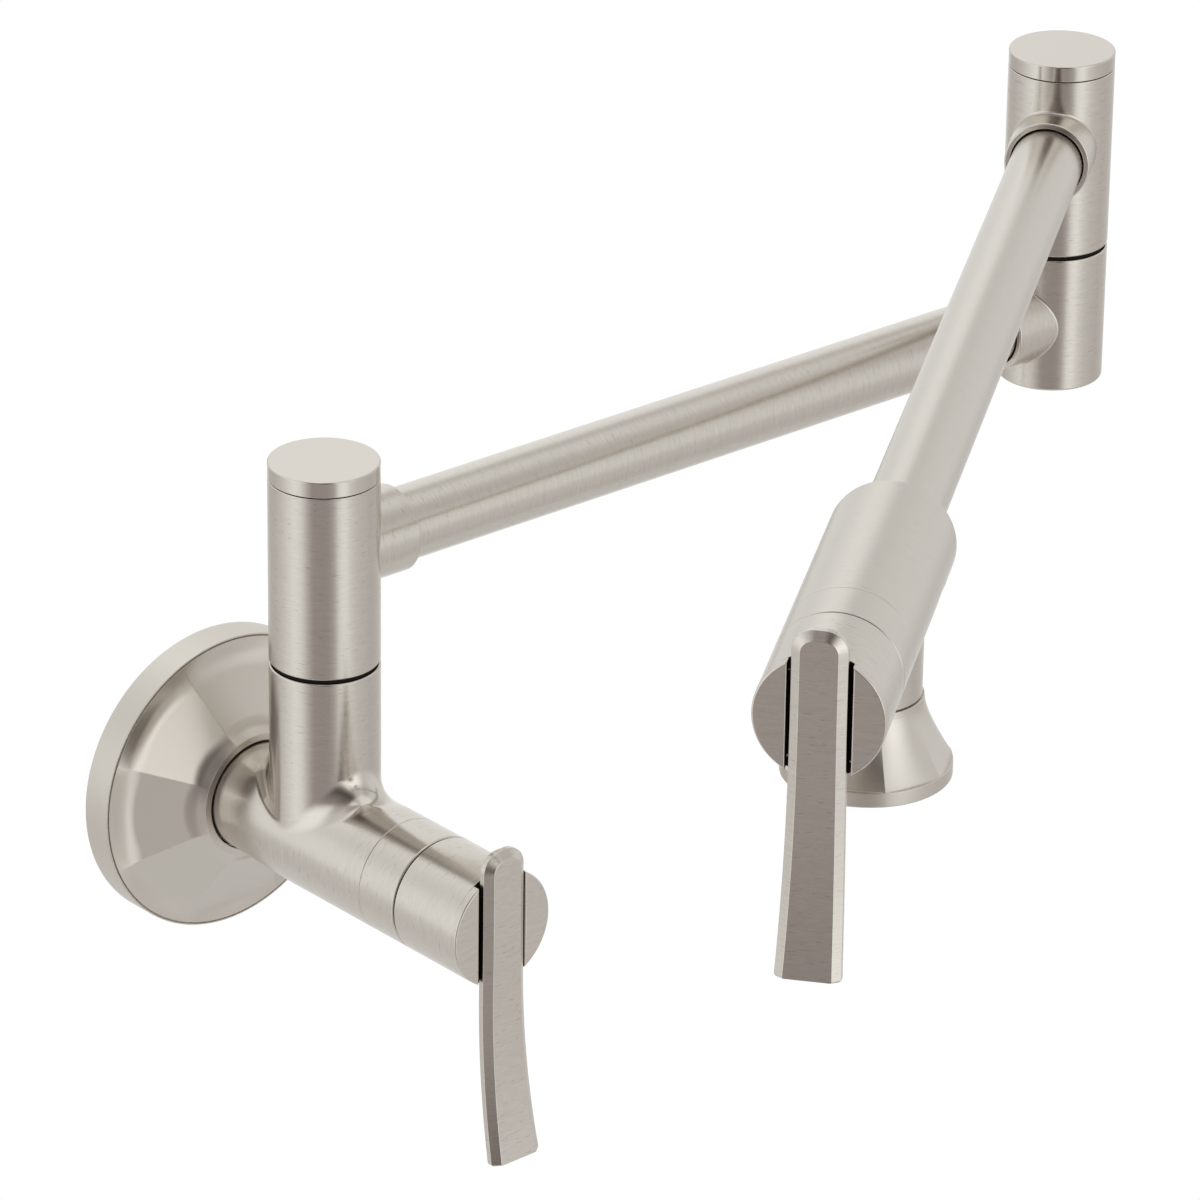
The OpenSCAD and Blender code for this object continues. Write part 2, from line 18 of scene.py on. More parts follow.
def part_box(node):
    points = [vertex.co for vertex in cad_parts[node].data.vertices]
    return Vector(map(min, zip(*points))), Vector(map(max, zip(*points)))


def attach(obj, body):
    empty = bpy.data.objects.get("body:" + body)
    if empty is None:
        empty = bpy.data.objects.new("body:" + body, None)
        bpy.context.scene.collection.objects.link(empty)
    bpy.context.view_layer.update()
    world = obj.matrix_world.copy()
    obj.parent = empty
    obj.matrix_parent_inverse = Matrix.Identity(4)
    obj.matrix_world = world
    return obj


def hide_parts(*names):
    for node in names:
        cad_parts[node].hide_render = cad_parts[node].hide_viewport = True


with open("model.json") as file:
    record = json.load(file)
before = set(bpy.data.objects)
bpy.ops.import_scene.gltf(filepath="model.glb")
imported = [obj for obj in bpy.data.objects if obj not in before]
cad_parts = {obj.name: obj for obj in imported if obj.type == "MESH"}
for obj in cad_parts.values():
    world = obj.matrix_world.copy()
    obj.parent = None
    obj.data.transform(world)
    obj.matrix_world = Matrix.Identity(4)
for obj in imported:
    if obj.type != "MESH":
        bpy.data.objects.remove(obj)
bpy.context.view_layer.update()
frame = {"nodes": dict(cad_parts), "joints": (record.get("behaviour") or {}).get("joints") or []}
joints = {j["name"]: j for j in frame["joints"]}
print("nodes:", len(frame["nodes"]), "joints:", sorted(joints))

# %% [markdown]
# ## The camera first
# The photograph is a long-lens studio shot: the lines of the arms hardly converge. A 218 mm lens from
# about two metres gives that look. The camera stands to the left of the tap and above it, and its axes
# follow from an azimuth, an elevation and a slight roll.

# %% Camera
MM = 0.001
camera_place = Vector((-1167.2, -1486.4, 936.2)) * MM
azimuth, elevation, roll = (math.radians(d) for d in (-41.5655, 25.0312, 0.7461))
back = Vector((math.sin(azimuth) * math.cos(elevation), -math.cos(azimuth) * math.cos(elevation),
               math.sin(elevation)))
level = Vector((math.cos(azimuth), math.sin(azimuth), 0))
right = math.cos(roll) * level + math.sin(roll) * back.cross(level)
camera_data = bpy.data.cameras.new("camera")
camera_data.lens = 217.965
camera_data.sensor_width = 36
camera_data.clip_end = 50
camera = bpy.data.objects.new("camera", camera_data)
camera.matrix_world = Matrix.Translation(camera_place) @ Matrix(
    (right, back.cross(right), back)).transposed().to_4x4()
bpy.context.scene.collection.objects.link(camera)
bpy.context.scene.camera = camera
print("camera at", tuple(round(v, 3) for v in camera_place))

# %% [markdown]
# ## Where the pieces stand
# Every piece is drawn in its own axes, in millimetres, and then set in place. The places come from the
# joints of the construction model: each column stands on a swivel axis, and each valve lies along the
# axis of its handle. A valve's own axes have Z along the valve, outwards, and X up. The spout body and
# the hubs are drawn with X down instead, because the neck and the set screw's hole are on that side.

# %% Places and sizes read from the frame
def box_mm(node):
    low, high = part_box(node)
    return np.array(low) / MM, np.array(high) / MM


def place(origin_mm, x_axis, z_axis):
    x_axis, z_axis = Vector(x_axis).normalized(), Vector(z_axis).normalized()
    turn = Matrix((x_axis, z_axis.cross(x_axis), z_axis)).transposed().to_4x4()
    return Matrix.Translation(Vector(origin_mm) * MM) @ turn


UP = Vector((0, 0, 1))
swivel_1 = Vector(joints["arm_1_swing"]["pos_m"]) / MM
swivel_2 = Vector(joints["arm_2_swing"]["pos_m"]) / MM
valve_axis_1 = Vector(joints["handle_1_turn"]["axis"])
valve_axis_2 = Vector(joints["handle_2_turn"]["axis"])
arm_1_way = (swivel_2 - swivel_1).xy.to_3d().normalized()
arm_2_way = valve_axis_2
bell_low, bell_high = box_mm("outlet_bell")
valve_1_origin = Vector((0, swivel_1.y, 0))
outlet = Vector((bell_low + bell_high) / 2)
outlet.z = swivel_2.z
wall_depth = -swivel_1.y

column_r = (box_mm("cap_1")[1] - box_mm("cap_1")[0])[0] / 2
body_r = (box_mm("hub_1")[1] - box_mm("hub_1")[0])[0] / 2
tube_r = (box_mm("arm_tube_1")[1] - box_mm("arm_tube_1")[0])[2] / 2
foot_1 = box_mm("column_1")[0][2]
foot_2 = box_mm("column_2_upper")[0][2]
cap_top = box_mm("cap_1")[1][2] - foot_1
arm_above_foot = swivel_1.z - foot_1
lower_half_top = box_mm("wall_body")[1][2]
elbow_low, elbow_top = (box_mm("column_2_lower")[end][2] - swivel_1.z for end in (0, 1))
nose = -box_mm("wall_body")[0][1] - wall_depth
bonnet_end = -box_mm("bonnet_1")[0][1] - wall_depth
hub_end, hub_start = (-box_mm("hub_1")[end][1] - wall_depth for end in (0, 1))

at_valve_1 = place(valve_1_origin, UP, valve_axis_1)
at_valve_2 = place(outlet, UP, valve_axis_2)
at_valve_1_down = place(valve_1_origin, -UP, valve_axis_1)
at_valve_2_down = place(outlet, -UP, valve_axis_2)
at_head_1 = place(swivel_1, arm_1_way, UP)
at_head_2 = place(swivel_2, arm_2_way, UP)
at_elbow = place((swivel_2.x, swivel_2.y, swivel_1.z), -arm_1_way, UP)
at_cap_1 = place((swivel_1.x, swivel_1.y, foot_1), arm_1_way, UP)
at_cap_2 = place((swivel_2.x, swivel_2.y, foot_2), arm_2_way, UP)
at_wall = place((0, 0, 0), (1, 0, 0), (0, -1, 0))
at_bell = place((outlet.x, outlet.y, bell_low[2]), arm_2_way, UP)
print(f"columns {2 * column_r:.2f} mm, bodies {2 * body_r:.1f} mm, tubes {2 * tube_r:.1f} mm across")

# %% [markdown]
# ## Surfaces with exact normals
# Turned metal looks right when its highlights run without a ripple, so every point gets the normal of the
# true surface. A small class collects the points of a piece, with four facts for each: the normal, the
# direction across the brush lines, the place on the piece in millimetres with Z across the lines, and how
# calm the grain is there. The materials read the last three.

# %% A skin of grids
class Skin:
    def __init__(self):
        self.rows = {"point": [], "normal": [], "across": [], "brush": [], "calm": []}
        self.faces = []
        self.dark = []
        self.count = 0

    def grid(self, point, normal, across, brush=None, calm=0, wrap=False):
        """Rows and columns of points, joined by four-sided faces; wrap closes the last column."""
        rows, columns = point.shape[:2]
        facts = {"point": point, "normal": normal, "across": across,
                 "brush": point if brush is None else brush}
        for key, value in facts.items():
            self.rows[key].append(np.broadcast_to(value, (rows, columns, 3)).reshape(-1, 3))
        self.rows["calm"].append(np.broadcast_to(calm, (rows, columns)).reshape(-1))
        across_columns = columns if wrap else columns - 1
        for i in range(rows - 1):
            for j in range(across_columns):
                a, b = self.count + i * columns + j, self.count + i * columns + (j + 1) % columns
                self.faces.append((a, b, b + columns, a + columns))
        self.count += rows * columns

    def flat(self, point, normal, across, brush=None):
        """One flat face with any number of corners."""
        start = self.count
        self.grid(point[None], np.array(normal, float), np.array(across, float),
                  None if brush is None else brush[None])
        self.faces.append(tuple(range(start, self.count)))

    def array(self, key):
        return np.concatenate(self.rows[key])

    def paint_gap_shade(self, test):
        """Gives the second material, a painted shade, to the faces whose middles (n, 3) pass the test."""
        points = self.array("point")
        middles = np.array([points[list(face)].mean(axis=0) for face in self.faces])
        self.dark = test(*middles.T).astype(int)

    def warp(self, change):
        """Moves the points by a function of (points, normals)."""
        points, normals = change(self.array("point"), self.array("normal"))
        self.rows["point"], self.rows["normal"] = [points], [normals]


def turn_axes(rows):
    """From axes with the turning axis along Z to axes with it along X."""
    return np.roll(rows, 1, axis=-1)


print("skins ready")

# %% [markdown]
# Each skin becomes a mesh in metres at its place. Points that lie on each other are welded, so that every
# piece is one closed surface, and the exact normals go on last.

# %% From a skin to a mesh
def build(name, skin, at, material):
    at_mm = at @ Matrix.Scale(MM, 4)
    move, spin = np.array(at_mm), np.array(at)[:3, :3]
    mesh = bpy.data.meshes.new(name)
    mesh.from_pydata(skin.array("point") @ move[:3, :3].T + move[:3, 3], [], skin.faces)
    mesh.attributes.new("normal", "FLOAT_VECTOR", "POINT").data.foreach_set(
        "vector", (skin.array("normal") @ spin.T).ravel())
    # The brushing is kept for each corner of each face, so it may change from face to face at a seam.
    corner = np.concatenate([np.array(face) for face in skin.faces])
    for key, turn in (("across", spin.T), ("brush", np.eye(3))):
        rows = skin.array(key)[corner] @ turn
        mesh.attributes.new(key, "FLOAT_VECTOR", "CORNER").data.foreach_set("vector", rows.ravel())
    mesh.attributes.new("calm", "FLOAT", "CORNER").data.foreach_set("value", skin.array("calm")[corner])
    if len(skin.dark):
        mesh.polygons.foreach_set("material_index", skin.dark)
    work = bmesh.new()
    work.from_mesh(mesh)
    bmesh.ops.remove_doubles(work, verts=work.verts, dist=2e-6)
    bmesh.ops.dissolve_degenerate(work, edges=work.edges, dist=1e-7)
    way = work.verts.layers.float_vector["normal"]
    work.normal_update()
    for face in work.faces:
        if face.normal.dot(sum((v[way] for v in face.verts), Vector())) < 0:
            face.normal_flip()
    work.to_mesh(mesh)
    work.free()
    normals = np.empty(3 * len(mesh.vertices))
    mesh.attributes["normal"].data.foreach_get("vector", normals)
    normals = normals.reshape(-1, 3)
    normals /= np.maximum(np.linalg.norm(normals, axis=1, keepdims=True), 1e-9)
    mesh.attributes.remove(mesh.attributes["normal"])
    mesh.shade_smooth()
    mesh.normals_split_custom_set_from_vertices(normals)
    mesh.materials.append(material)
    # Faces in gaps take the second material, a painted shade.
    if len(skin.dark):
        mesh.materials.append(recess)
    piece = bpy.data.objects.new(name, mesh)
    bpy.context.scene.collection.objects.link(piece)
    return piece


def finish_piece(piece, body, nodes):
    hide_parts(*nodes)
    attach(piece, body)
    print(f"{piece.name}: {len(piece.data.vertices)} points, stands for {', '.join(nodes)}")

# %% [markdown]
# ## Profiles for turning
# A turned piece is drawn as half its section: corners, each with a small radius. No corner of a real
# casting or turning is sharp, and it is these radii, a few tenths of a millimetre, that draw the thin
# bright lines along every edge.

# %% Rounded profiles
SMALL_EDGE = 0.15
LONGEST_SETBACK = 0.48
ARC_STEP = 18


def rounded(corners, closed=False):
    """Points, normals and run length along corners (a, b, radius, steps); the outside is on the right."""
    count = len(corners)
    flat = [np.array(c[:2], float) for c in corners]
    points, normals = [], []

    def keep(p, n):
        points.append(p)
        normals.append(n)

    for i, corner in enumerate(corners):
        here = flat[i]
        if not closed and i in (0, count - 1):
            d = flat[1] - flat[0] if i == 0 else flat[-1] - flat[-2]
            d = d / np.linalg.norm(d)
            keep(here, np.array([d[1], -d[0]]))
            continue
        d0, d1 = here - flat[i - 1], flat[(i + 1) % count] - here
        reach = min(np.linalg.norm(d0), np.linalg.norm(d1))
        d0, d1 = d0 / np.linalg.norm(d0), d1 / np.linalg.norm(d1)
        bend = math.atan2(d0[0] * d1[1] - d0[1] * d1[0], d0 @ d1)
        radius = corner[2] if len(corner) > 2 else SMALL_EDGE
        # Two corners share a side, so neither may take as much as half of it.
        setback = min(radius * math.tan(abs(bend) / 2), LONGEST_SETBACK * reach)
        radius = setback / max(math.tan(abs(bend) / 2), 1e-6)
        n0 = np.array([d0[1], -d0[0]])
        centre = here - setback * d0 - math.copysign(radius, bend) * n0
        steps = corner[3] if len(corner) > 3 else max(2, round(abs(math.degrees(bend)) / ARC_STEP))
        for k in range(steps + 1):
            a = bend * k / steps
            n = np.array([n0[0] * math.cos(a) - n0[1] * math.sin(a),
                          n0[0] * math.sin(a) + n0[1] * math.cos(a)])
            keep(centre + math.copysign(radius, bend) * n, n)
    if closed:
        keep(points[0], normals[0])
    points, normals = np.array(points), np.array(normals)
    run = np.concatenate([[0], np.cumsum(np.linalg.norm(np.diff(points, axis=0), axis=1))])
    return points, normals, run


print("a corner of 0.5 mm has", len(rounded([(0, 0), (1, 0, 0.5), (1, 1)])[0]) - 2, "points")

# %% [markdown]
# ## Turning
# A lathe spins the work, so one half section and a ring of angles give the whole skin. The belt marks
# run round the bar, and so the direction across them runs along the section.

# %% Turning a profile
COLUMNS_ROUND = 160
FULL = np.linspace(0, 2 * math.pi, COLUMNS_ROUND + 1)[:-1]


def turned(skin, profile, angles=FULL, along_x=False, calm=0):
    """Turns a profile of (radius, height) about Z, or about X."""
    points, normals, run = profile
    ring = np.stack([np.cos(angles), np.sin(angles)], axis=-1)
    size = (len(points), len(angles), 3)
    point, normal, across, brush = (np.empty(size) for _ in range(4))
    point[..., :2] = points[:, None, :1] * ring
    point[..., 2] = points[:, None, 1]
    normal[..., :2] = normals[:, None, :1] * ring
    normal[..., 2] = normals[:, None, 1]
    across[..., :2] = -normals[:, None, 1:] * ring
    across[..., 2] = normals[:, None, 0]
    # The brush height follows the largest straight stretch, so its lines run on across a seam.
    brush[..., :2] = np.max(points[:, 0]) * ring
    climb = np.diff(points[:, 1])
    largest = int(np.argmax(np.abs(climb) * points[:-1, 0]))
    way = math.copysign(1.0, climb[largest])
    brush[..., 2] = (points[largest, 1] + way * (run - run[largest]))[:, None]
    if along_x:
        point, normal, across = (turn_axes(v) for v in (point, normal, across))
    skin.grid(point, normal, across, brush, calm, wrap=True)


print(COLUMNS_ROUND, "columns of points round a plain turned piece")

# %% [markdown]
# ## Where two round bars meet
# The columns rise out of the valve body, the tube collars out of the columns and the outlet neck out of
# the spout body. At each a ball of the blend's radius rolls round the corner and touches both bars. Its
# centre follows a curve that is known exactly, so the blend and its normals are exact too. Round the
# blend the large bar's surface is a patch of rings that open out to a rectangle, and past the rectangle
# it is a plain turned bar again.

# %% A bar with an opening in its side
Z_AXIS, X_AXIS = np.array([0, 0, 1.0]), np.array([1.0, 0, 0])
BACK_COLUMNS = 96


def square_loop(across_cells, round_cells):
    """Steps along two sides of a square from -1 to 1, and points (u, v) all the way round it."""
    side = np.linspace(-1, 1, across_cells + 1)
    arc = np.linspace(-1, 1, round_cells + 1)
    u = np.concatenate([np.ones(across_cells), arc[::-1][:-1], -np.ones(across_cells), arc[:-1]])
    v = np.concatenate([side[:-1], np.ones(round_cells), side[::-1][:-1], -np.ones(round_cells)])
    return side, arc, u, v


def bar_round_opening(skin, main_r, edge, loop, patch, ends, soft=False, level=0.0):
    """The bar about Z from an opening's edge (angles, heights) outwards; returns its columns' angles."""
    side, arc, u, v = loop
    half_angle, half_width = patch
    rings = 7 if soft else 4
    # The rings lie closer together beside the opening.
    t = (np.linspace(0, 1, rings + 1) ** 1.3)[:, None]
    theta = (1 - t) * edge[0] + t * half_angle * u
    height = level + (1 - t) * edge[1] + t * half_width * v
    out = np.stack([np.cos(theta), np.sin(theta), 0 * theta], axis=-1)
    calm = 1 - t + 0 * theta if soft else 0
    skin.grid(main_r * out + height[..., None] * Z_AXIS, out, Z_AXIS, None, calm, wrap=True)
    back = np.linspace(half_angle, 2 * math.pi - half_angle, BACK_COLUMNS + 1)
    out = np.stack([np.cos(back), np.sin(back), 0 * back], axis=-1)[None]
    skin.grid(main_r * out + (level + half_width * side)[:, None, None] * Z_AXIS, out, Z_AXIS)
    angles = np.concatenate([half_angle * arc, back[1:-1]])
    for profile in ends:
        turned(skin, profile, angles)
    return angles


print("a bar goes on with", BACK_COLUMNS, "columns behind an opening")

# %% [markdown]
# A set screw holds each hub on its stem, from below, and its hole shows from underneath. The edge is
# rounded by a small ball that rolls round inside the hole, just under the bar's surface.

# %% A drilled hole in a round bar
def drilled(skin, main_r, hole_r, floor_x, level, patch, ends, edge=SMALL_EDGE):
    """Main bar about Z with a blind hole that comes in along X; returns the angles of its columns."""
    loop = square_loop(6, 6)
    phi = np.arctan2(loop[3], loop[2])
    y, z = (hole_r + edge) * np.cos(phi), (hole_r + edge) * np.sin(phi)
    x = np.sqrt(main_r ** 2 - y ** 2)
    out = np.stack([x, y, 0 * phi], axis=-1) / main_r
    radial = np.stack([0 * phi, np.cos(phi), np.sin(phi)], axis=-1)
    centre = np.stack([x, y, level + z], axis=-1) - edge * out
    t = np.linspace(0, math.pi / 2, 4)[:, None, None]
    normal = np.sin(t) * out - np.cos(t) * radial
    normal /= np.linalg.norm(normal, axis=-1, keepdims=True)
    skin.grid(centre + edge * normal, normal, Z_AXIS, wrap=True)
    bend = np.sin(t) * X_AXIS - np.cos(t) * radial
    foot = (floor_x + edge) * X_AXIS + (hole_r - edge) * radial + level * Z_AXIS - edge * bend
    mouth = centre - edge * radial
    skin.grid(np.concatenate([[mouth], foot]), np.concatenate([[-radial], bend]), X_AXIS, wrap=True)
    skin.flat(foot[-1], X_AXIS, Z_AXIS)
    return bar_round_opening(skin, main_r, (np.arctan2(y, x), z), loop, patch, ends, level=level)


print("a hole's edge is rounded by", SMALL_EDGE, "mm")

# %% [markdown]
# The branch is drawn from its root outwards: the ball's sweep, the big bar round it, and then the small
# bar. In the soft blend of a casting the lines fade out, as a polishing wheel leaves it.

# %% A round branch on a round bar
def junction(skin, main_r, branch_r, blend, patch, ends, branch, soft=False, cells=(20, 22)):
    """Main bar about Z with a profile below and one above, and a branch along +X."""
    loop = square_loop(*cells)
    phi = np.arctan2(loop[3], loop[2])
    y, z = (branch_r + blend) * np.cos(phi), (branch_r + blend) * np.sin(phi)
    x = np.sqrt((main_r + blend) ** 2 - y ** 2)
    centre = np.stack([x, y, z], axis=-1)
    start = np.stack([0 * phi, -np.cos(phi), -np.sin(phi)], axis=-1)
    end = -np.stack([x, y, 0 * phi], axis=-1) / (main_r + blend)
    gap = np.arccos(np.clip(np.sum(start * end, axis=-1), -1, 1))[:, None]
    steps = 16 if soft else 5
    t = np.linspace(0, 1, steps + 1)[:, None, None]
    ball = (np.sin((1 - t) * gap) * start + np.sin(t * gap) * end) / np.sin(gap)
    lean = -(1 - t) * X_AXIS + t * np.sign(np.sin(phi))[:, None] * Z_AXIS
    lean = lean - np.sum(lean * ball, axis=-1, keepdims=True) * ball
    lean /= np.maximum(np.linalg.norm(lean, axis=-1, keepdims=True), 1e-6)
    grain = np.concatenate([branch_r * start[..., 1:], x[:, None]], axis=-1)
    # A soft blend is polished: the calm rises from 0.3 at the branch to 1 at the bar.
    down = t[..., 0] + 0 * gap[:, 0]
    skin.grid(centre + blend * ball, -ball, lean, grain - blend * t * Z_AXIS,
              0.3 + 0.7 * down if soft else 0, wrap=True)
    bar_round_opening(skin, main_r, (np.arctan2(y, x), z), loop, patch, ends, soft)
    reach = branch[0][0][1]
    t = np.linspace(0, 1, 6)[:, None]
    run = (1 - t) * x + t * reach
    out = np.stack([0 * phi, np.cos(phi), np.sin(phi)], axis=-1)[None]
    brush = np.concatenate([branch_r * np.broadcast_to(out[..., 1:], run.shape + (2,)), run[..., None]],
                           axis=-1)
    skin.grid(branch_r * out + run[..., None] * X_AXIS, out, X_AXIS, brush,
              0.3 * (1 - t) + 0 * run if soft else 0, wrap=True)
    turned(skin, branch, phi, along_x=True)


print("junctions ready")

# %% [markdown]
# ## Brushed nickel
# Brushed nickel is a warm grey metal whose surface was drawn along an abrasive belt. The lines are about a
# third of a millimetre apart and a few millimetres long. They do three things: they spread each highlight
# across the lines, they vary the tone a little, and here and there one is deep enough to show as a short
# dark dash. The second arm and its spout look smoother in the photograph, so their lines show half as
# much. The flange and the bell are satin, with hardly a line. A metal's colour in the shader is the colour
# of its reflection head on.

# %% Small helpers for materials
def linear(text):
    """An sRGB hex colour as linear red, green, blue and alpha."""
    parts = [int(text[i:i + 2], 16) / 255 for i in (1, 3, 5)]
    return [c / 12.92 if c <= 0.04045 else ((c + 0.055) / 1.055) ** 2.4 for c in parts] + [1.0]


def add(tree, kind, settings=None, **inputs):
    """Adds a node; an input is a value or the socket that feeds it, with _ for a space in its name."""
    node = tree.nodes.new(kind)
    for key, value in (settings or {}).items():
        setattr(node, key, value)
    for key, value in inputs.items():
        socket = node.inputs[int(key[1:])] if key[1:].isdigit() else node.inputs[key.replace("_", " ")]
        if isinstance(value, bpy.types.NodeSocket):
            tree.links.new(value, socket)
        else:
            socket.default_value = value
    return node


def material(name):
    """A new material with its node tree and its shader."""
    made = bpy.data.materials.new(name)
    made.use_nodes = True
    return made, made.node_tree, made.node_tree.nodes["Principled BSDF"]


def ramp(tree, factor, stops):
    """A colour ramp through (position, hex colour or grey value)."""
    node = add(tree, "ShaderNodeValToRGB", i0=factor)
    elements = node.color_ramp.elements
    for i, (position, tone) in enumerate(stops):
        element = elements[i] if i < 2 else elements.new(position)
        element.position = position
        element.color = linear(tone) if isinstance(tone, str) else [tone, tone, tone, 1]
    return node.outputs["Color"]


def scalar(tree, operation, a, b, c=0.0):
    """Arithmetic on numbers or sockets."""
    return add(tree, "ShaderNodeMath", {"operation": operation}, i0=a, i1=b, i2=c).outputs[0]


print("white is", linear("#ffffff")[:3])

# %% The nickel
LINE_ACROSS_MM = 0.35
LINE_ALONG_MM = 4
DASH_MM = (2.6, 0.4)
LINE_DEPTH_M = 0.00004
TONE_SPREAD, ROUGH_SPREAD, DASH_DARK = 0.26, 0.12, 0.14
CALM_POLISH = 0.13


def brushed_nickel(name, tone="#d6d1c8", roughness=0.24, stretch=0.5, grain=1.0):
    """Metal brushed along lines; grain scales how much the lines show."""
    made, tree, shader = material(name)
    place_on_piece = add(tree, "ShaderNodeAttribute", {"attribute_name": "brush"}).outputs["Vector"]
    calm = add(tree, "ShaderNodeAttribute", {"attribute_name": "calm"}).outputs["Fac"]
    lively = scalar(tree, "SUBTRACT", 1.0, calm)
    across = add(tree, "ShaderNodeAttribute", {"attribute_name": "across"}).outputs["Vector"]
    tangent = add(tree, "ShaderNodeVectorTransform", {
        "vector_type": "VECTOR", "convert_from": "OBJECT", "convert_to": "WORLD"}, Vector=across)

    def lines(along, width, detail=2.0):
        scaled = add(tree, "ShaderNodeVectorMath", {"operation": "MULTIPLY"}, i0=place_on_piece,
                     i1=(1 / along, 1 / along, 1 / width))
        return add(tree, "ShaderNodeTexNoise", Vector=scaled.outputs[0], Scale=1.0, Detail=detail,
                   Roughness=0.6).outputs["Fac"]

    fine = lines(LINE_ALONG_MM, LINE_ACROSS_MM)
    broad = lines(3 * LINE_ALONG_MM, 5 * LINE_ACROSS_MM)
    # Only the deepest dips of a third noise become the dark dashes.
    dashes = ramp(tree, lines(*DASH_MM, 0.0), [(0.22, 1.0), (0.26, 0.0)])
    mixed = scalar(tree, "ADD", scalar(tree, "MULTIPLY", fine, 0.75), scalar(tree, "MULTIPLY", broad, 0.25))
    shift = scalar(tree, "MULTIPLY", scalar(tree, "SUBTRACT", mixed, 0.5), lively)
    shade = scalar(tree, "ADD", 1.0, scalar(tree, "MULTIPLY", shift, TONE_SPREAD * grain))
    dash = scalar(tree, "MULTIPLY", scalar(tree, "MULTIPLY", dashes, lively), DASH_DARK * grain)
    shade = scalar(tree, "SUBTRACT", shade, dash)
    colour = add(tree, "ShaderNodeVectorMath", {"operation": "SCALE"}, i0=linear(tone)[:3], Scale=shade)
    rough = scalar(tree, "ADD", roughness, scalar(tree, "MULTIPLY", shift, ROUGH_SPREAD * grain))
    rough = scalar(tree, "MULTIPLY_ADD", calm, -CALM_POLISH, rough)
    bump = add(tree, "ShaderNodeBump", Strength=scalar(tree, "MULTIPLY", lively, 0.25 * grain),
               Distance=LINE_DEPTH_M, Height=fine)
    tree.links.new(colour.outputs[0], shader.inputs["Base Color"])
    tree.links.new(rough, shader.inputs["Roughness"])
    tree.links.new(scalar(tree, "MULTIPLY", lively, stretch), shader.inputs["Anisotropic"])
    tree.links.new(tangent.outputs[0], shader.inputs["Tangent"])
    tree.links.new(bump.outputs[0], shader.inputs["Normal"])
    shader.inputs["Metallic"].default_value = 1.0
    return made


nickel = brushed_nickel("brushed nickel")
fine_nickel = brushed_nickel("finely brushed nickel", grain=0.5)
satin = brushed_nickel("satin nickel", roughness=0.39, stretch=0.0, grain=0.35)
print(len(nickel.node_tree.nodes), "nodes in the nickel")

# %% [markdown]
# Where the pieces leave a gap, the real tap shows deep shade there. A rough, nearly black brown paints that
# shade in; the faces at a bar's end that look into a gap get it.

# %% The painted shade of a recess
recess, tree, shader = material("painted gap shade")
shader.inputs["Base Color"].default_value = linear("#17110d")
shader.inputs["Roughness"].default_value = 0.9
shader.inputs["Specular IOR Level"].default_value = 0.2


def end_face(level, side, margin, inset, radius=column_r):
    """A test for faces that look into a gap at a bar's upper end (side 1) or lower end (side -1); they get
    painted shade.
    """
    return lambda x, y, z: (side * (z - level) > -margin) & (np.hypot(x, y) < radius - inset)


print("recess material ready")

# %% [markdown]
# ## Columns, collars and caps
# Each column head is turned from bar and carries a collar for its tube. The tube goes into a recess in the
# collar's end, which leaves a thin dark ring round it, partly real shade and partly painted shade. The foot
# stands 1.2 mm off the half below, so the swivel can turn; a slightly larger radius at those two edges
# keeps a hand from catching on them.

# %% Sizes of the columns
collar_r, collar_start, collar_reach, collar_blend = 12.75, 16.4, 24.7, 0.8
collar_patch = (math.radians(74), 15.5)
recess_play, recess_lip, recess_depth = 0.4, 1.3, 3
recess_r = tube_r + recess_play
swivel_bore_r, swivel_bore_depth = 10.55, 26
gap_edge, mouth_edge = 0.5, 0.3
cap_h, cap_seam = 5, 0.25

collar_end = rounded([
    (collar_r, collar_start), (collar_r, collar_reach, 0.6), (recess_r, collar_reach, 0.3),
    (recess_r, collar_reach - recess_lip), (recess_r, collar_reach - recess_depth, 0.15),
    (0, collar_reach - recess_depth)])


def in_recess(x, y, z):
    """The recess round the tube at a collar's end, past its bright lip, where shade is painted."""
    margin = 0.2
    return ((x > collar_reach - recess_depth - margin) & (x < collar_reach - recess_lip)
            & (np.hypot(y, z) < recess_r + margin))


print(f"collars {2 * collar_r:.1f} mm across")

# %% [markdown]
# Both heads are the same piece: a sleeve over the swivel post, open below, with the cap on top.

# %% Column heads
def column_head(number, at, node):
    foot, top = -arm_above_foot, cap_top - arm_above_foot - cap_h
    half = collar_patch[1]
    skin = Skin()
    low = rounded([(swivel_bore_r, 0), (swivel_bore_r, foot, mouth_edge), (column_r, foot, gap_edge),
                   (column_r, -half)])
    high = rounded([(column_r, half), (column_r, top, 0.3), (swivel_bore_r, top, 0.3), (swivel_bore_r, 0)])
    junction(skin, column_r, collar_r, collar_blend, collar_patch, (low, high), collar_end)
    # Painted shade goes on the faces in the gap at the foot, in the seam under the cap and in the tube's
    # recess.
    in_gap, in_seam = end_face(foot, -1, 0.2, 0.5), end_face(top, 1, 0.1, 0.25)
    skin.paint_gap_shade(lambda x, y, z: in_gap(x, y, z) | in_seam(x, y, z) | in_recess(x, y, z))
    finish_piece(build(f"column_head_{number}", skin, at, nickel), f"arm_{number}", [node])


column_head(1, at_head_1, "column_1")
column_head(2, at_head_2, "column_2_upper")

# %% [markdown]
# The lower half of column 2 is turned the other way up: a solid foot, a collar that looks back along
# arm 1, and a bore above for the swivel post.

# %% The elbow under column head 2
skin = Skin()
bore_floor = elbow_top - swivel_bore_depth
low = rounded([(0, elbow_low), (column_r, elbow_low, 0.8), (column_r, -collar_patch[1])])
high = rounded([(column_r, collar_patch[1]), (column_r, elbow_top, gap_edge),
                (swivel_bore_r, elbow_top, mouth_edge), (swivel_bore_r, bore_floor, 0.2), (0, bore_floor)])
junction(skin, column_r, collar_r, collar_blend, collar_patch, (low, high), collar_end)
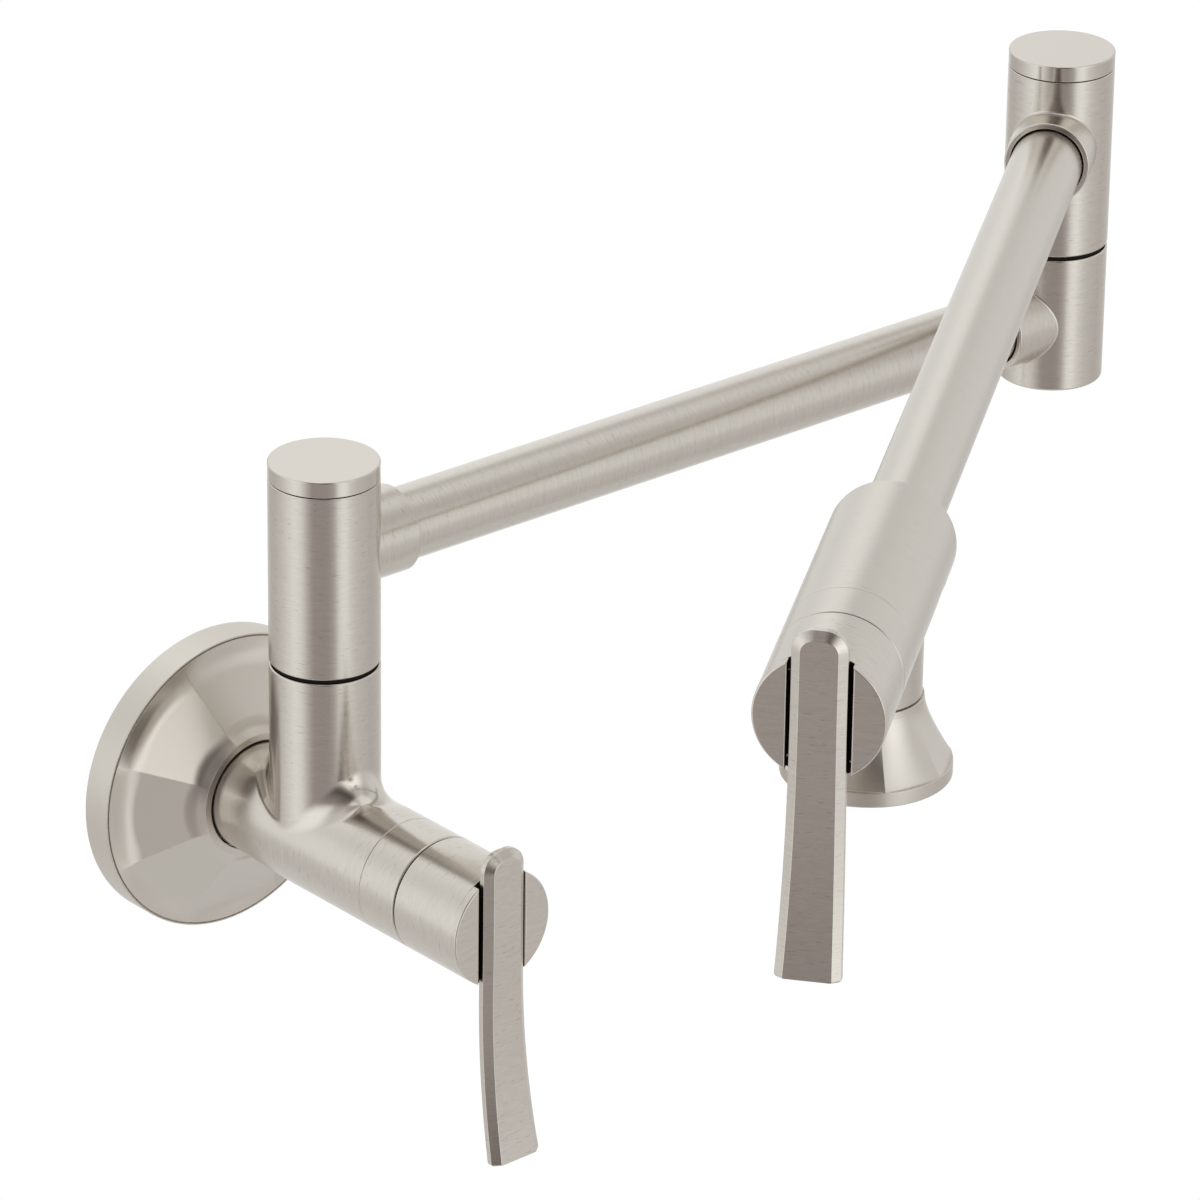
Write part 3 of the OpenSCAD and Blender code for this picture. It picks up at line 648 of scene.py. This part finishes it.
# Painted shade goes on the faces in the swivel's gap at the top and in the tube's recess.
in_gap = end_face(elbow_top, 1, 0.2, 0.5)
skin.paint_gap_shade(lambda x, y, z: in_gap(x, y, z) | in_recess(x, y, z))
finish_piece(build("column_2_elbow", skin, at_elbow, nickel), "arm_1", ["column_2_lower"])

# %% [markdown]
# A cap is a disc of the column's own radius. A seam of a quarter of a millimetre, dark with painted shade
# on the faces inside it, sets it off, and its top is almost free of lines.

# %% Caps
for number, at in ((1, at_cap_1), (2, at_cap_2)):
    skin = Skin()
    bottom = cap_top - cap_h + cap_seam
    turned(skin, rounded([(0, bottom), (column_r, bottom, 0.2), (column_r, cap_top, 0.45), (0, cap_top)]),
           calm=0.85)
    # The cap's underside, inside the seam, gets painted shade.
    skin.paint_gap_shade(end_face(bottom, -1, 0.15, 0.2))
    finish_piece(build(f"column_cap_{number}", skin, at, nickel), f"arm_{number}", [f"cap_{number}"])

# %% [markdown]
# Thin-walled tube runs from collar to collar. Each end goes a little way into the piece that holds it, so
# no gap shows at the recess.

# %% Arm tubes
tube_wall, tube_bite, spout_rear = 1.5, 2.4, 33.3
tube_start = column_r - tube_bite
arm_1_length = (swivel_2 - swivel_1).xy.length
arm_2_length = (outlet - swivel_2).xy.length
finishes = {1: nickel, 2: fine_nickel}
for number, at, tube_end in ((1, at_head_1, arm_1_length - tube_start),
                             (2, at_head_2, arm_2_length - (spout_rear - tube_start))):
    inside_r = tube_r - tube_wall
    skin = Skin()
    turned(skin, rounded([(inside_r, tube_start, 0.2), (tube_r, tube_start, 0.2), (tube_r, tube_end, 0.2),
                          (inside_r, tube_end, 0.2)], closed=True), along_x=True)
    piece = build(f"tube_{number}", skin, at, finishes[number])
    finish_piece(piece, f"arm_{number}", [f"arm_tube_{number}"])

# %% [markdown]
# ## Valve bodies
# The body at the wall is one casting: the inlet barrel, the valve chamber and the lower half of the first
# column. The column grows out of it with a blend of 9 mm radius. The barrel narrows slightly towards the
# wall. The spout body is a plain bar with a neck below, which carries the bell.

# %% The body at the wall
column_blend, body_patch, column_start = 9.0, (math.radians(92), 27), 30
barrel_r, taper_start, collar_face = 16.1, 3, 22.6
inlet_r, inlet_depth, passage_r, passage_depth = 9.25, 18, 6, 28
mouth_r, mouth_level, chamber_r = 14, 19, 11.2


def narrow_barrel(points, normals):
    """Narrows the bar behind the column towards the wall, and leaves the column as it is."""
    share = np.clip((-taper_start - points[:, 2]) / (wall_depth - collar_face - taper_start), 0, 1)
    weight = np.clip((body_r + column_blend - points[:, 0]) / column_blend, 0, 1)
    weight = weight * weight * (3 - 2 * weight)
    moved = points.copy()
    moved[:, :2] *= (1 - (1 - barrel_r / body_r) * share * weight)[:, None]
    return moved, normals


def chamber_end(start, floor):
    """The bar up to its nose, the mouth for the bonnet and the cartridge's bore down to its floor."""
    return rounded([(body_r, start), (body_r, nose, 0.25), (mouth_r, nose, 0.3),
                    (mouth_r, mouth_level, 0.2), (chamber_r, mouth_level, 0.2),
                    (chamber_r, floor, 0.2), (0, floor)])


skin = Skin()
low = rounded([(0, passage_depth - wall_depth), (passage_r, passage_depth - wall_depth, 0.2),
               (passage_r, inlet_depth - wall_depth, 0.3), (inlet_r, inlet_depth - wall_depth, 0.2),
               (inlet_r, -wall_depth, 0.6), (body_r, -wall_depth, 0.6), (body_r, -body_patch[1])])
bore_floor = lower_half_top - swivel_bore_depth
branch = rounded([(column_r, column_start), (column_r, lower_half_top, gap_edge),
                  (swivel_bore_r, lower_half_top, mouth_edge), (swivel_bore_r, bore_floor, 0.2),
                  (0, bore_floor)])
junction(skin, body_r, column_r, column_blend, body_patch, (low, chamber_end(body_patch[1], -11)), branch,
         soft=True, cells=(28, 30))
skin.warp(narrow_barrel)
# The end of the column's lower half, in the swivel's gap, gets painted shade.
in_gap = end_face(lower_half_top, 1, 0.2, 0.5)
skin.paint_gap_shade(lambda x, y, z: in_gap(y, z, x))
finish_piece(build("valve_body", skin, at_valve_1, nickel), "wall_unit", ["wall_body"])

# %% [markdown]
# The spout body lies on its side like the one at the wall, and is drawn with X down, so that its branch
# is the neck. The tube of arm 2 comes in from behind.

# %% The spout body
neck_r, neck_start, neck_drop, neck_blend = 14.15, 20, 28.3, 1.0
spigot_r, spigot_length, outlet_bore_r, outlet_bore_top = 11.4, 9.6, 8, 24
spout_patch, socket_floor = (math.radians(80), 19), -10
spigot_end = neck_drop + spigot_length
skin = Skin()
low = rounded([(0, socket_floor), (recess_r, socket_floor, 0.2), (recess_r, -spout_rear, 0.3),
               (body_r, -spout_rear, 1.2), (body_r, -spout_patch[1])])
branch = rounded([(neck_r, neck_start), (neck_r, neck_drop, 0.3), (spigot_r, neck_drop, 0.3),
                  (spigot_r, spigot_end, 0.3), (outlet_bore_r, spigot_end, 0.3),
                  (outlet_bore_r, outlet_bore_top, 0.2), (0, outlet_bore_top)])
junction(skin, body_r, neck_r, neck_blend, spout_patch, (low, chamber_end(spout_patch[1], -8)), branch)
finish_piece(build("spout_chamber", skin, at_valve_2_down, fine_nickel), "arm_2", ["spout_body"])

# %% [markdown]
# A bonnet screws into the body's nose and keeps the cartridge in. Only a short ring of it shows.

# %% Bonnet rings
stem_hole_r, thread_r, thread_end = 4.5, 13.9, 23
cartridge_neck_r, cartridge_neck_top = 7.6, 40.1
for number, at, body in ((1, at_valve_1, "wall_unit"), (2, at_valve_2, "arm_2")):
    skin = Skin()
    turned(skin, rounded([
        (body_r, nose, 0.25), (body_r, bonnet_end, 0.5), (stem_hole_r, bonnet_end, 0.4),
        (stem_hole_r, cartridge_neck_top, 0.2), (cartridge_neck_r, cartridge_neck_top, 0.2),
        (cartridge_neck_r, thread_end, 0.2), (thread_r, thread_end, 0.3), (thread_r, nose, 0.2)],
        closed=True))
    # The bonnet's end, which looks into the gap before the hub, gets painted shade.
    skin.paint_gap_shade(end_face(bonnet_end, 1, 0.2, 0.4, body_r))
    finish_piece(build(f"bonnet_ring_{number}", skin, at, finishes[number]), body, [f"bonnet_{number}"])

# %% [markdown]
# ## Hubs and levers
# The hub is a turned cylinder with a slot milled across its face and a hole below for its set screw. What
# the mill leaves stands beside the slot as two cheeks. The lever lies in the slot with a gap on each side,
# whose floor and walls are dark with painted shade; it stands 2 mm proud and is held from behind. Its face
# has a wide bevel all round, which catches a bright line, and below the hub it curves gently away from the
# wall.

# %% Cheeks of a hub
slot_half, slot_depth = 8.3, 2.4
cheek_sink, cheek_inset, cheek_trim, cheek_edge, cheek_band = 0.5, 0.05, 0.1, 0.5, 2
floor_level = hub_end - slot_depth


def cheek_outline(side, outset):
    """Points and outward directions round a segment of a circle beside the slot."""
    reach = math.acos((slot_half - outset) / (body_r + outset))
    # The points crowd beside the two corners, so that the light turns sharply there and nowhere else.
    spread = np.concatenate([[-1, -0.992], np.linspace(-0.97, 0.97, 49), [0.992, 1]])
    angles = spread * reach
    arc_way = np.stack([np.sin(angles), np.cos(angles)], axis=-1)
    arc = (body_r + outset) * arc_way
    chord_x = arc[-1, 0] * np.array([0.985, 0.9, 0.5, 0, -0.5, -0.9, -0.985])
    chord = np.stack([chord_x, 0 * chord_x + slot_half - outset], axis=-1)
    chord_way = np.tile([0.0, -1.0], (len(chord), 1))
    corner_way = arc_way[[0, -1]] + [0, -1]
    arc_way[[0, -1]] = corner_way / np.linalg.norm(corner_way, axis=1)[:, None]
    return np.concatenate([arc, chord]) * [1, side], np.concatenate([arc_way, chord_way]) * [1, side]


def hub_cheek(skin, side):
    """One of the two raised parts beside the slot, sunk a little into the hub."""
    low, high = floor_level - cheek_sink, hub_end - cheek_trim
    section = rounded([(-cheek_band, low), (-cheek_inset, low, 0.1), (-cheek_inset, high, cheek_edge),
                       (-cheek_band, high)])
    point, normal = [], []
    for (outset, level), (out, rise) in zip(section[0], section[1]):
        line, way = cheek_outline(side, outset)
        point.append(np.column_stack([line, 0 * line[:, 0] + level]))
        normal.append(np.column_stack([way * out, 0 * line[:, 0] + rise]))
    point, normal = np.array(point), np.array(normal)
    lies_flat = np.abs(normal[..., 2:]) > 0.5
    across = np.where(lies_flat, [1.0, 0, 0], [0, 0, 1.0])
    skin.grid(point, normal, across, np.where(lies_flat, point[..., [1, 2, 0]], point), wrap=True)
    skin.flat(point[-1], (0, 0, 1), (1, 0, 0), point[-1][:, [1, 2, 0]])
    skin.flat(point[0], (0, 0, -1), (1, 0, 0))


print(f"slot {2 * slot_half:.1f} mm wide, {slot_depth} mm deep")

# %% Hubs
set_screw_at, set_hole_r, set_hole_floor = 7.2, 2.05, 4.5
set_patch = (math.radians(16), 3.6)
stem_bore_r, stem_bore_top = 4.05, floor_level - 6
recess_in_hub_r, recess_in_hub_h, floor_margin = 12, 3, 3
set_level = hub_start + set_screw_at
for number, at in ((1, at_valve_1_down), (2, at_valve_2_down)):
    skin = Skin()
    behind = hub_start + recess_in_hub_h
    low = rounded([(0, stem_bore_top), (stem_bore_r, stem_bore_top, 0.2), (stem_bore_r, behind, 0.2),
                   (recess_in_hub_r, behind, 0.3), (recess_in_hub_r, hub_start, 0.3),
                   (body_r, hub_start, 0.5), (body_r, set_level - set_patch[1])])
    floor_r = body_r - floor_margin
    high = rounded([(body_r, set_level + set_patch[1]), (body_r, floor_level, 0.35),
                    (floor_r, floor_level)])
    angles = drilled(skin, body_r, set_hole_r, set_hole_floor, set_level, set_patch, (low, high))
    ring = floor_r * np.stack([np.cos(angles), np.sin(angles), 0 * angles], axis=-1) + floor_level * Z_AXIS
    skin.flat(ring, (0, 0, 1), (1, 0, 0), ring[:, [1, 2, 0]])
    for side in (-1, 1):
        hub_cheek(skin, side)
    # The recess behind the hub and the slot's floor and cheek walls beside the lever get painted shade.
    in_recess_behind = end_face(behind, -1, 0.1, 0.4, body_r)
    skin.paint_gap_shade(lambda x, y, z: in_recess_behind(x, y, z) | (z > floor_level - 0.2) & (z < hub_end - 0.4)
                & (np.abs(y) < slot_half + 0.1))
    finish_piece(build(f"hub_{number}", skin, at, nickel), f"handle_{number}", [f"hub_{number}"])

# %% The lever's outline and curve
lever_half, lever_flare, lever_top, lever_bottom = 7.25, 1.45, 24.6, -70.0
lever_thick, lever_proud, bevel_w, bevel_h = 3.6, 2.15, 2.35, 1.8
head_corner, foot_corner = 6.0, 0.9
bend_from, bend_r = -17.6, 240.0


def half_width_at(height):
    """The lever widens towards its foot with the square of the way down."""
    way_down = max(0.0, lever_half - height) / (lever_half - lever_bottom)
    return lever_half + lever_flare * way_down ** 2


def lever_outline(inset):
    """Points (height, side) round the lever, starting at the foot, and their outward directions."""
    points = []
    # The bevel runs out at the foot: there the outline moves up by 0.3 mm at most.
    sideways = min(inset, 0.6 * foot_corner)
    upward = 0.0 if inset < 0.5 else min(0.3, inset - 0.5)
    corner = foot_corner - sideways
    for a in np.linspace(0, math.pi / 2, 7):
        points.append((lever_bottom + foot_corner - corner * math.cos(a) - sideways + upward,
                       half_width_at(lever_bottom) - inset - corner * (1 - math.sin(a)),
                       -math.cos(a), math.sin(a)))
    for height in np.linspace(lever_bottom + foot_corner, lever_top - head_corner, 42)[1:-1]:
        points.append((height, half_width_at(height) - inset, 0.0, 1.0))
    corner = head_corner - inset
    for a in np.linspace(0, math.pi / 2, 15):
        points.append((lever_top - head_corner + corner * math.sin(a),
                       lever_half - head_corner + corner * math.cos(a), math.sin(a), math.cos(a)))
    one = np.array(points)
    two = one[::-1] * [1, -1, 1, -1]
    loop = np.concatenate([one, two])
    return loop[:, :2], loop[:, 2:]


def bend_out(points, normals):
    """Curves the lever away from the wall below the hub."""
    drop = np.maximum(0, bend_from - points[:, 0])
    root = np.sqrt(bend_r ** 2 - drop ** 2)
    slope = -drop / root
    moved, turned_normals = points.copy(), normals.copy()
    moved[:, 2] += bend_r - root
    turned_normals[:, 0] -= slope * normals[:, 2]
    return moved, turned_normals


print(len(lever_outline(0)[0]), "points round the lever")

# %% [markdown]
# The lever's section is the same all round: a flat back, a short side, the bevel and the flat face. Each
# point of that section gives one outline, and the outlines one after another make the skin.

# %% Levers
def lever(number, at):
    back = hub_end + lever_proud - lever_thick
    front = back + lever_thick
    side, face_edge = front - bevel_h, -2.6
    section = rounded([(face_edge, back), (0, back, 0.3), (0, side, 0.3), (-bevel_w, front, 0.35),
                       (face_edge, front)])
    point, normal = [], []
    for (outset, level), (out, rise) in zip(section[0], section[1]):
        line, way = lever_outline(-outset)
        point.append(np.column_stack([line, 0 * line[:, 0] + level]))
        normal.append(np.column_stack([way * out, 0 * line[:, 0] + rise]))
    # The flat back and face close towards the lever's middle line in two steps.
    for at_end, rise in ((0, -1), (-1, 1)):
        inner = [point[at_end] * [1, 1 - share, 1] for share in (0.5, 1.0)]
        flat_way = [np.tile([0.0, 0, rise], (len(line), 1))] * 2
        if at_end == 0:
            point, normal = inner[::-1] + point, flat_way + normal
        else:
            point, normal = point + inner, normal + flat_way
    point, normal = np.array(point), np.array(normal)
    across = np.array([1.0, 0, 0]) - normal * normal[..., :1]
    across = np.where(np.linalg.norm(across, axis=-1, keepdims=True) < 0.3, [0, 0, 1.0], across)
    skin = Skin()
    skin.grid(point, normal, across, point[..., [1, 2, 0]], wrap=True)
    skin.warp(bend_out)
    finish_piece(build(f"lever_{number}", skin, at, nickel), f"handle_{number}", [f"lever_{number}"])


lever(1, at_valve_1)
lever(2, at_valve_2)

# %% [markdown]
# ## Flange and bell
# The flange on the wall and the bell at the outlet share one form: eight flat facets that fall away from
# a round centre and run out, with a soft hollow, against a plain round rim. Each column of points has its
# own profile, because a facet is nearest the axis at its middle and furthest at its ridges.

# %% Profiles that change round the axis
def faceted_angles():
    """Angles with close columns beside the eight ridges, and each one's angle from its facet's middle."""
    within = np.concatenate([[-22.5, -22.1, -21.4], np.linspace(-20, 20, 17), [21.4, 22.1]])
    angles = np.concatenate([within + 45 * k for k in range(8)])
    return np.radians(angles), np.radians(np.tile(within, 8))


def loft(skin, columns, angles, calm_where):
    """A closed skin from one (radius, height) profile for each angle, with normals from its own slopes."""
    columns = np.array(columns)
    steps = np.linalg.norm(np.diff(columns, axis=1), axis=-1)
    run = np.concatenate([np.zeros((len(columns), 1)), np.cumsum(steps, axis=1)], axis=1).T
    point = np.stack([columns[..., 0] * np.cos(angles)[:, None], columns[..., 0] * np.sin(angles)[:, None],
                      columns[..., 1]], axis=-1).transpose(1, 0, 2)
    along = np.gradient(point, axis=0)
    along[0], along[-1] = point[1] - point[0], point[-1] - point[-2]
    round_way = np.roll(point, -1, axis=1) - np.roll(point, 1, axis=1)
    normal = np.cross(round_way, along)
    normal /= np.maximum(np.linalg.norm(normal, axis=-1, keepdims=True), 1e-9)
    across = along / np.maximum(np.linalg.norm(along, axis=-1, keepdims=True), 1e-9)
    brush = np.concatenate([point[..., :2], run[..., None]], axis=-1)
    calm = calm_where(np.hypot(point[..., 0], point[..., 1]), point[..., 2])
    skin.grid(point, normal, across, brush, calm, wrap=True)


print("a facet spans 45 degrees")

# %% The flange
flange_r, rim_h, groove_r, groove_floor = 44.9, 10.1, 44.3, 9.2
facet_top, facet_slope, facet_end, facet_foot = 30.6, 0.5412, 38.2, 21.6
hollow_r, foot_hollow_r = 16.0, 17.0
flange_bore_r, flange_collar_r = 16.7, 18.9
back_top, web_r, web_h, skirt_r = 17.4, 32.9, 7.6, 36.5
gasket_in_r, gasket_out_r, gasket_h = 38, 42, 2


def flange_profile(delta):
    """The section at an angle from a facet's middle: back, gasket groove, rim, groove, facet and collar."""
    def facet(r):
        return facet_top - facet_slope * r * math.cos(delta)

    return rounded([
        (flange_bore_r, back_top, 0.15, 2), (web_r, web_h, 0.3, 2), (skirt_r, web_h, 0.3, 2),
        (skirt_r, 0, 0.2, 2), (gasket_in_r, 0, 0.15, 2), (gasket_in_r, gasket_h, 0.15, 2),
        (gasket_out_r, gasket_h, 0.15, 2), (gasket_out_r, 0, 0.15, 2),
        (flange_r, 0, 0.4, 3), (flange_r, rim_h, 0.3, 4),
        (groove_r + 0.2, rim_h, 0.1, 3), (groove_r, groove_floor, 0.08, 2),
        (groove_r - 0.25, rim_h + 0.05, 0.1, 3), (facet_end, facet(facet_end), hollow_r, 14),
        (facet_foot, facet(facet_foot), foot_hollow_r, 14),
        (flange_collar_r, collar_face, 0.2, 4), (flange_bore_r, collar_face, 0.25, 4)], closed=True)[0]


angles, deltas = faceted_angles()
skin = Skin()
# The front inside the rim is calm, and the rim keeps its lines.
loft(skin, [flange_profile(d) for d in deltas], angles,
     lambda r, z: np.where((r < 44) & (z > 9.8), 0.8, 0.0))
finish_piece(build("flange_cover", skin, at_wall, satin), "wall_unit", ["wall_flange"])

# %% [markdown]
# The bell hides the aerator. Its side is a gentle curve fitted to a few measured points, and its facets
# are deepest at the rim.

# %% The bell
BELL_SHARES = np.array([[0, 0], [0.13, 0.19], [0.31, 0.43], [0.49, 0.64], [0.67, 0.84], [0.84, 0.95],
                        [1, 1]])
bell_curve = np.polyfit(BELL_SHARES[:, 0], BELL_SHARES[:, 1], 4)
bell_r, bell_top_r, bell_rim_h, bell_h = 22.75, 14.7, 4.2, bell_high[2] - bell_low[2]
bell_seam, neck_ring_r = 0.25, 13.6
thread_in_r, thread_in_end = 11.45, 13.9
insert_r, insert_floor, flare_r = 12.55, 6, 18
facet_share, facet_sink, facet_height_share = 0.6, 0.15, 0.75


def bell_profile(delta):
    """The section at an angle from a facet's middle; the facets are deepest at the rim and fade upwards."""
    facet = math.cos(math.radians(22.5)) / math.cos(delta)
    shares = np.linspace(0.0, 1.0, 19)
    radius = bell_r + (bell_top_r - bell_r) * np.polyval(bell_curve, shares)
    fade = np.clip(1 - shares / facet_height_share, 0, 1) ** 1.5
    radius = radius * (1 - facet_share * fade * (1 - facet)) - facet_sink * fade
    curve = [(r, bell_rim_h + (bell_h - bell_rim_h) * s, 0.4, 1) for r, s in zip(radius, shares)]
    curve[0] = curve[0][:2] + (0.3, 3)
    top = bell_h - bell_seam
    curve[-1:] = [(bell_top_r, top, 0.2, 3), (neck_ring_r, top, 0.05, 2), (neck_ring_r, bell_h, 0.1, 2)]
    return rounded([
        (thread_in_r, bell_h, 0.2, 2), (thread_in_r, thread_in_end, 0.2, 2),
        (insert_r, thread_in_end, 0.2, 2), (insert_r, insert_floor, 0.2, 2), (flare_r, 0, 0.3, 3),
        (bell_r, 0, 0.5, 4), (bell_r, bell_rim_h, 0.3, 3)] + curve, closed=True)[0]


skin = Skin()
loft(skin, [bell_profile(d) for d in deltas], angles,
     lambda r, z: np.where((r > 14) & (z > 4.3), 1.0, 0.3))
finish_piece(build("outlet_bell_cover", skin, at_bell, satin), "arm_2", ["outlet_bell"])

# %% [markdown]
# ## Pieces inside
# The swivel posts, cartridges, seals and screws stay as the construction model draws them. Each still has
# the finish of the real thing: turned brass, black rubber, white alumina and so on; only the thrust washers
# are coloured nearly black as painted shade. Their texture is measured in the piece's own metres, so a
# scale of 2000 puts the grain at half a millimetre.

# %% Finishes of the inner pieces
def plain(name, tone, roughness, metallic=0.0, grain_scale=2000.0, spread=0.12):
    """A finish with a fine, even grain in its tone and roughness."""
    made, tree, shader = material(name)
    where = add(tree, "ShaderNodeTexCoord").outputs["Object"]
    grain = add(tree, "ShaderNodeTexNoise", Vector=where, Scale=grain_scale, Detail=3.0).outputs["Fac"]
    centred = scalar(tree, "SUBTRACT", grain, 0.5)
    shade = scalar(tree, "MULTIPLY_ADD", centred, spread, 1.0)
    colour = add(tree, "ShaderNodeVectorMath", {"operation": "SCALE"}, i0=linear(tone)[:3], Scale=shade)
    tree.links.new(colour.outputs[0], shader.inputs["Base Color"])
    tree.links.new(scalar(tree, "MULTIPLY_ADD", centred, 0.2, roughness), shader.inputs["Roughness"])
    bump = add(tree, "ShaderNodeBump", Strength=0.15, Distance=0.00005, Height=grain)
    tree.links.new(bump.outputs[0], shader.inputs["Normal"])
    shader.inputs["Metallic"].default_value = metallic
    return made


def both(*names):
    """Each name with _1 and with _2."""
    return [f"{name}_{number}" for name in names for number in (1, 2)]


inner = [
    # Turned brass is warm and bright, with tool marks too fine to see.
    (plain("turned brass", "#c9a75a", 0.28, 1.0), both("cartridge", "stem", "swivel_post", "post_nut")),
    # Stainless steel is a cooler grey with a soft sheen.
    (plain("stainless steel", "#b9b7b2", 0.3, 1.0),
     both("lever_screw", "hub_set_screw") + ["aerator_screen"]),
    # Moulded rubber is nearly black and spreads its highlights wide.
    (plain("black nitrile rubber", "#161616", 0.55, grain_scale=900.0),
     both("cartridge_seal", "stem_seal", "post_o_rings") + ["flange_o_ring", "aerator_washer"]),
    # The ceramic discs are lapped flat and shine like glazed ware.
    (plain("polished alumina", "#f0ede6", 0.18, spread=0.04), both("fixed_disc", "moving_disc")),
    # Moulded acetal is dull; the washers are coloured nearly black as painted shade for the deep gap they
    # sit in.
    (plain("acetal coloured as painted shade", "#110b08", 0.9), both("thrust_washer")),
    # The aerator's insert is the same plastic in pale grey.
    (plain("grey acetal of the aerator", "#d5d8d8", 0.42, spread=0.06), ["aerator_insert"]),
    # Foam is a coarse speckle, because its cut cells are small shadows.
    (plain("closed-cell foam", "#2c2c2e", 0.9, grain_scale=1200.0, spread=0.5), ["flange_gasket"]),
]
for finish, names in inner:
    for name in names:
        mesh = frame["nodes"][name].data
        mesh.materials.clear()
        mesh.materials.append(finish)
print(sum(len(names) for finish, names in inner), "inner pieces dressed")

# %% [markdown]
# ## The studio
# The metal has no colour of its own to speak of: what shows is the room. The photograph was taken in a
# white tent, with the dark of the studio behind the camera and two bright sides. The world is that tent,
# drawn by direction: five rows of tones, each right round the room, from far below eye level to high
# above it. It is the same for the camera and for the reflections, and plain white where the camera looks.

# %% World
world = bpy.data.worlds.new("white tent")
bpy.context.scene.world = world
world.use_nodes = True
tree = world.node_tree
CAMERA_AZIMUTH = math.degrees(math.atan2(back.y, back.x))
STRENGTH = 2.0
direction = add(tree, "ShaderNodeTexCoord").outputs["Generated"]
parts = add(tree, "ShaderNodeSeparateXYZ", i0=direction).outputs
bearing = scalar(tree, "DIVIDE", scalar(tree, "ARCTAN2", parts["Y"], parts["X"]), 2 * math.pi)
bearing = scalar(tree, "SUBTRACT", bearing, CAMERA_AZIMUTH / 360 - 0.5)
bearing = scalar(tree, "WRAP", bearing, 1.0, 0.0)

lowest = [
    (-180, 1.02), (-173, 1.0), (-166, 0.8), (-120, 0.72), (-90, 0.74), (-60, 0.64), (-35, 0.56),
    (-10, 0.44), (10, 0.42), (30, 0.6), (60, 0.64), (100, 0.62), (140, 0.66), (166, 0.76), (173, 1.0),
    (180, 1.02)]
# Each further row: from and to, in degrees above the horizon, where it takes over, then its tones.
rows = [
    ((-45, -28), [
        (-180, 1.02), (-173, 1.0), (-165, 0.82), (-145, 0.6), (-120, 0.6), (-95, 0.72), (-80, 0.84),
        (-62, 1.04), (-48, 0.96), (-34, 0.62), (-22, 0.38), (10, 0.4), (23, 0.5), (34, 1.0), (46, 1.06),
        (58, 0.8), (74, 0.68), (92, 0.64), (110, 0.58), (135, 0.62), (158, 0.7), (173, 1.0), (180, 1.02)]),
    ((-22, -4), [
        (-180, 1.0), (-173, 1.0), (-160, 0.78), (-145, 0.85), (-120, 0.85), (-98, 0.88), (-78, 1.12),
        (-48, 1.16), (-36, 0.95), (-26, 0.36), (-12, 0.26), (8, 0.08), (18, 0.26), (28, 1.16), (45, 1.38),
        (58, 1.24), (72, 0.88), (80, 0.72), (90, 0.76), (102, 0.8), (145, 0.82), (160, 0.8), (172, 0.94),
        (180, 1.0)]),
    ((14, 38), [
        (-180, 1.0), (-150, 1.15), (-120, 0.95), (-90, 0.76), (-60, 0.7), (-36, 0.48), (-20, 0.24),
        (-4, 0.16), (8, 0.08), (20, 0.24), (32, 0.62), (60, 0.72), (88, 0.58), (118, 0.78), (150, 0.76),
        (168, 0.62), (180, 1.0)]),
    ((52, 68), [
        (-180, 0.8), (-160, 1.3), (-120, 1.3), (-95, 0.9), (-70, 0.42), (-40, 0.5), (-22, 1.05), (5, 0.6),
        (25, 0.75), (50, 0.98), (90, 0.95), (145, 1.05), (165, 0.8), (180, 0.8)]),
]


def row_of(tones):
    """A ramp round the room through (degrees from the camera's side, brightness)."""
    return ramp(tree, bearing, [((angle + 180) / 360, tone / STRENGTH) for angle, tone in tones])


mixed = row_of(lowest)
for span, tones in rows:
    low, high = (math.sin(math.radians(v)) for v in span)
    share = add(tree, "ShaderNodeMapRange", {"interpolation_type": "SMOOTHSTEP"}, Value=parts["Z"],
                From_Min=low, From_Max=high).outputs[0]
    mixed = add(tree, "ShaderNodeMix", {"data_type": "RGBA"}, i0=share, i6=mixed,
                i7=row_of(tones)).outputs[2]
# The darks of the studio are a little warm.
warmth = ramp(tree, mixed, [(0.05, "#fff0ec"), (0.42, "#ffffff")])
mixed = add(tree, "ShaderNodeMix", {"data_type": "RGBA", "blend_type": "MULTIPLY"}, i0=1.0, i6=mixed,
            i7=warmth).outputs[2]
background = tree.nodes["Background"]
tree.links.new(mixed, background.inputs["Color"])
background.inputs["Strength"].default_value = STRENGTH
print("world drawn by direction, in", 1 + len(rows), "rows")

# %% [markdown]
# ## The floor
# The tap hangs on a wall and touches no ground. A white disc lies far below it, out of the picture, and
# only passes a little light back up.

# %% Floor
floor_drop, disc_r = 1.1, 1.0
bpy.ops.mesh.primitive_circle_add(vertices=96, radius=disc_r, fill_type="NGON",
                                  location=(0.12, -0.15, -floor_drop))
floor = bpy.context.object
floor.name = "floor"
floor_white, tree, shader = material("floor white")
shader.inputs["Base Color"].default_value = linear("#f2f2f2")
shader.inputs["Roughness"].default_value = 0.9
floor.data.materials.append(floor_white)
bpy.context.scene.view_settings.view_transform = "Standard"
print("floor laid", floor_drop, "m below the inlet's axis")
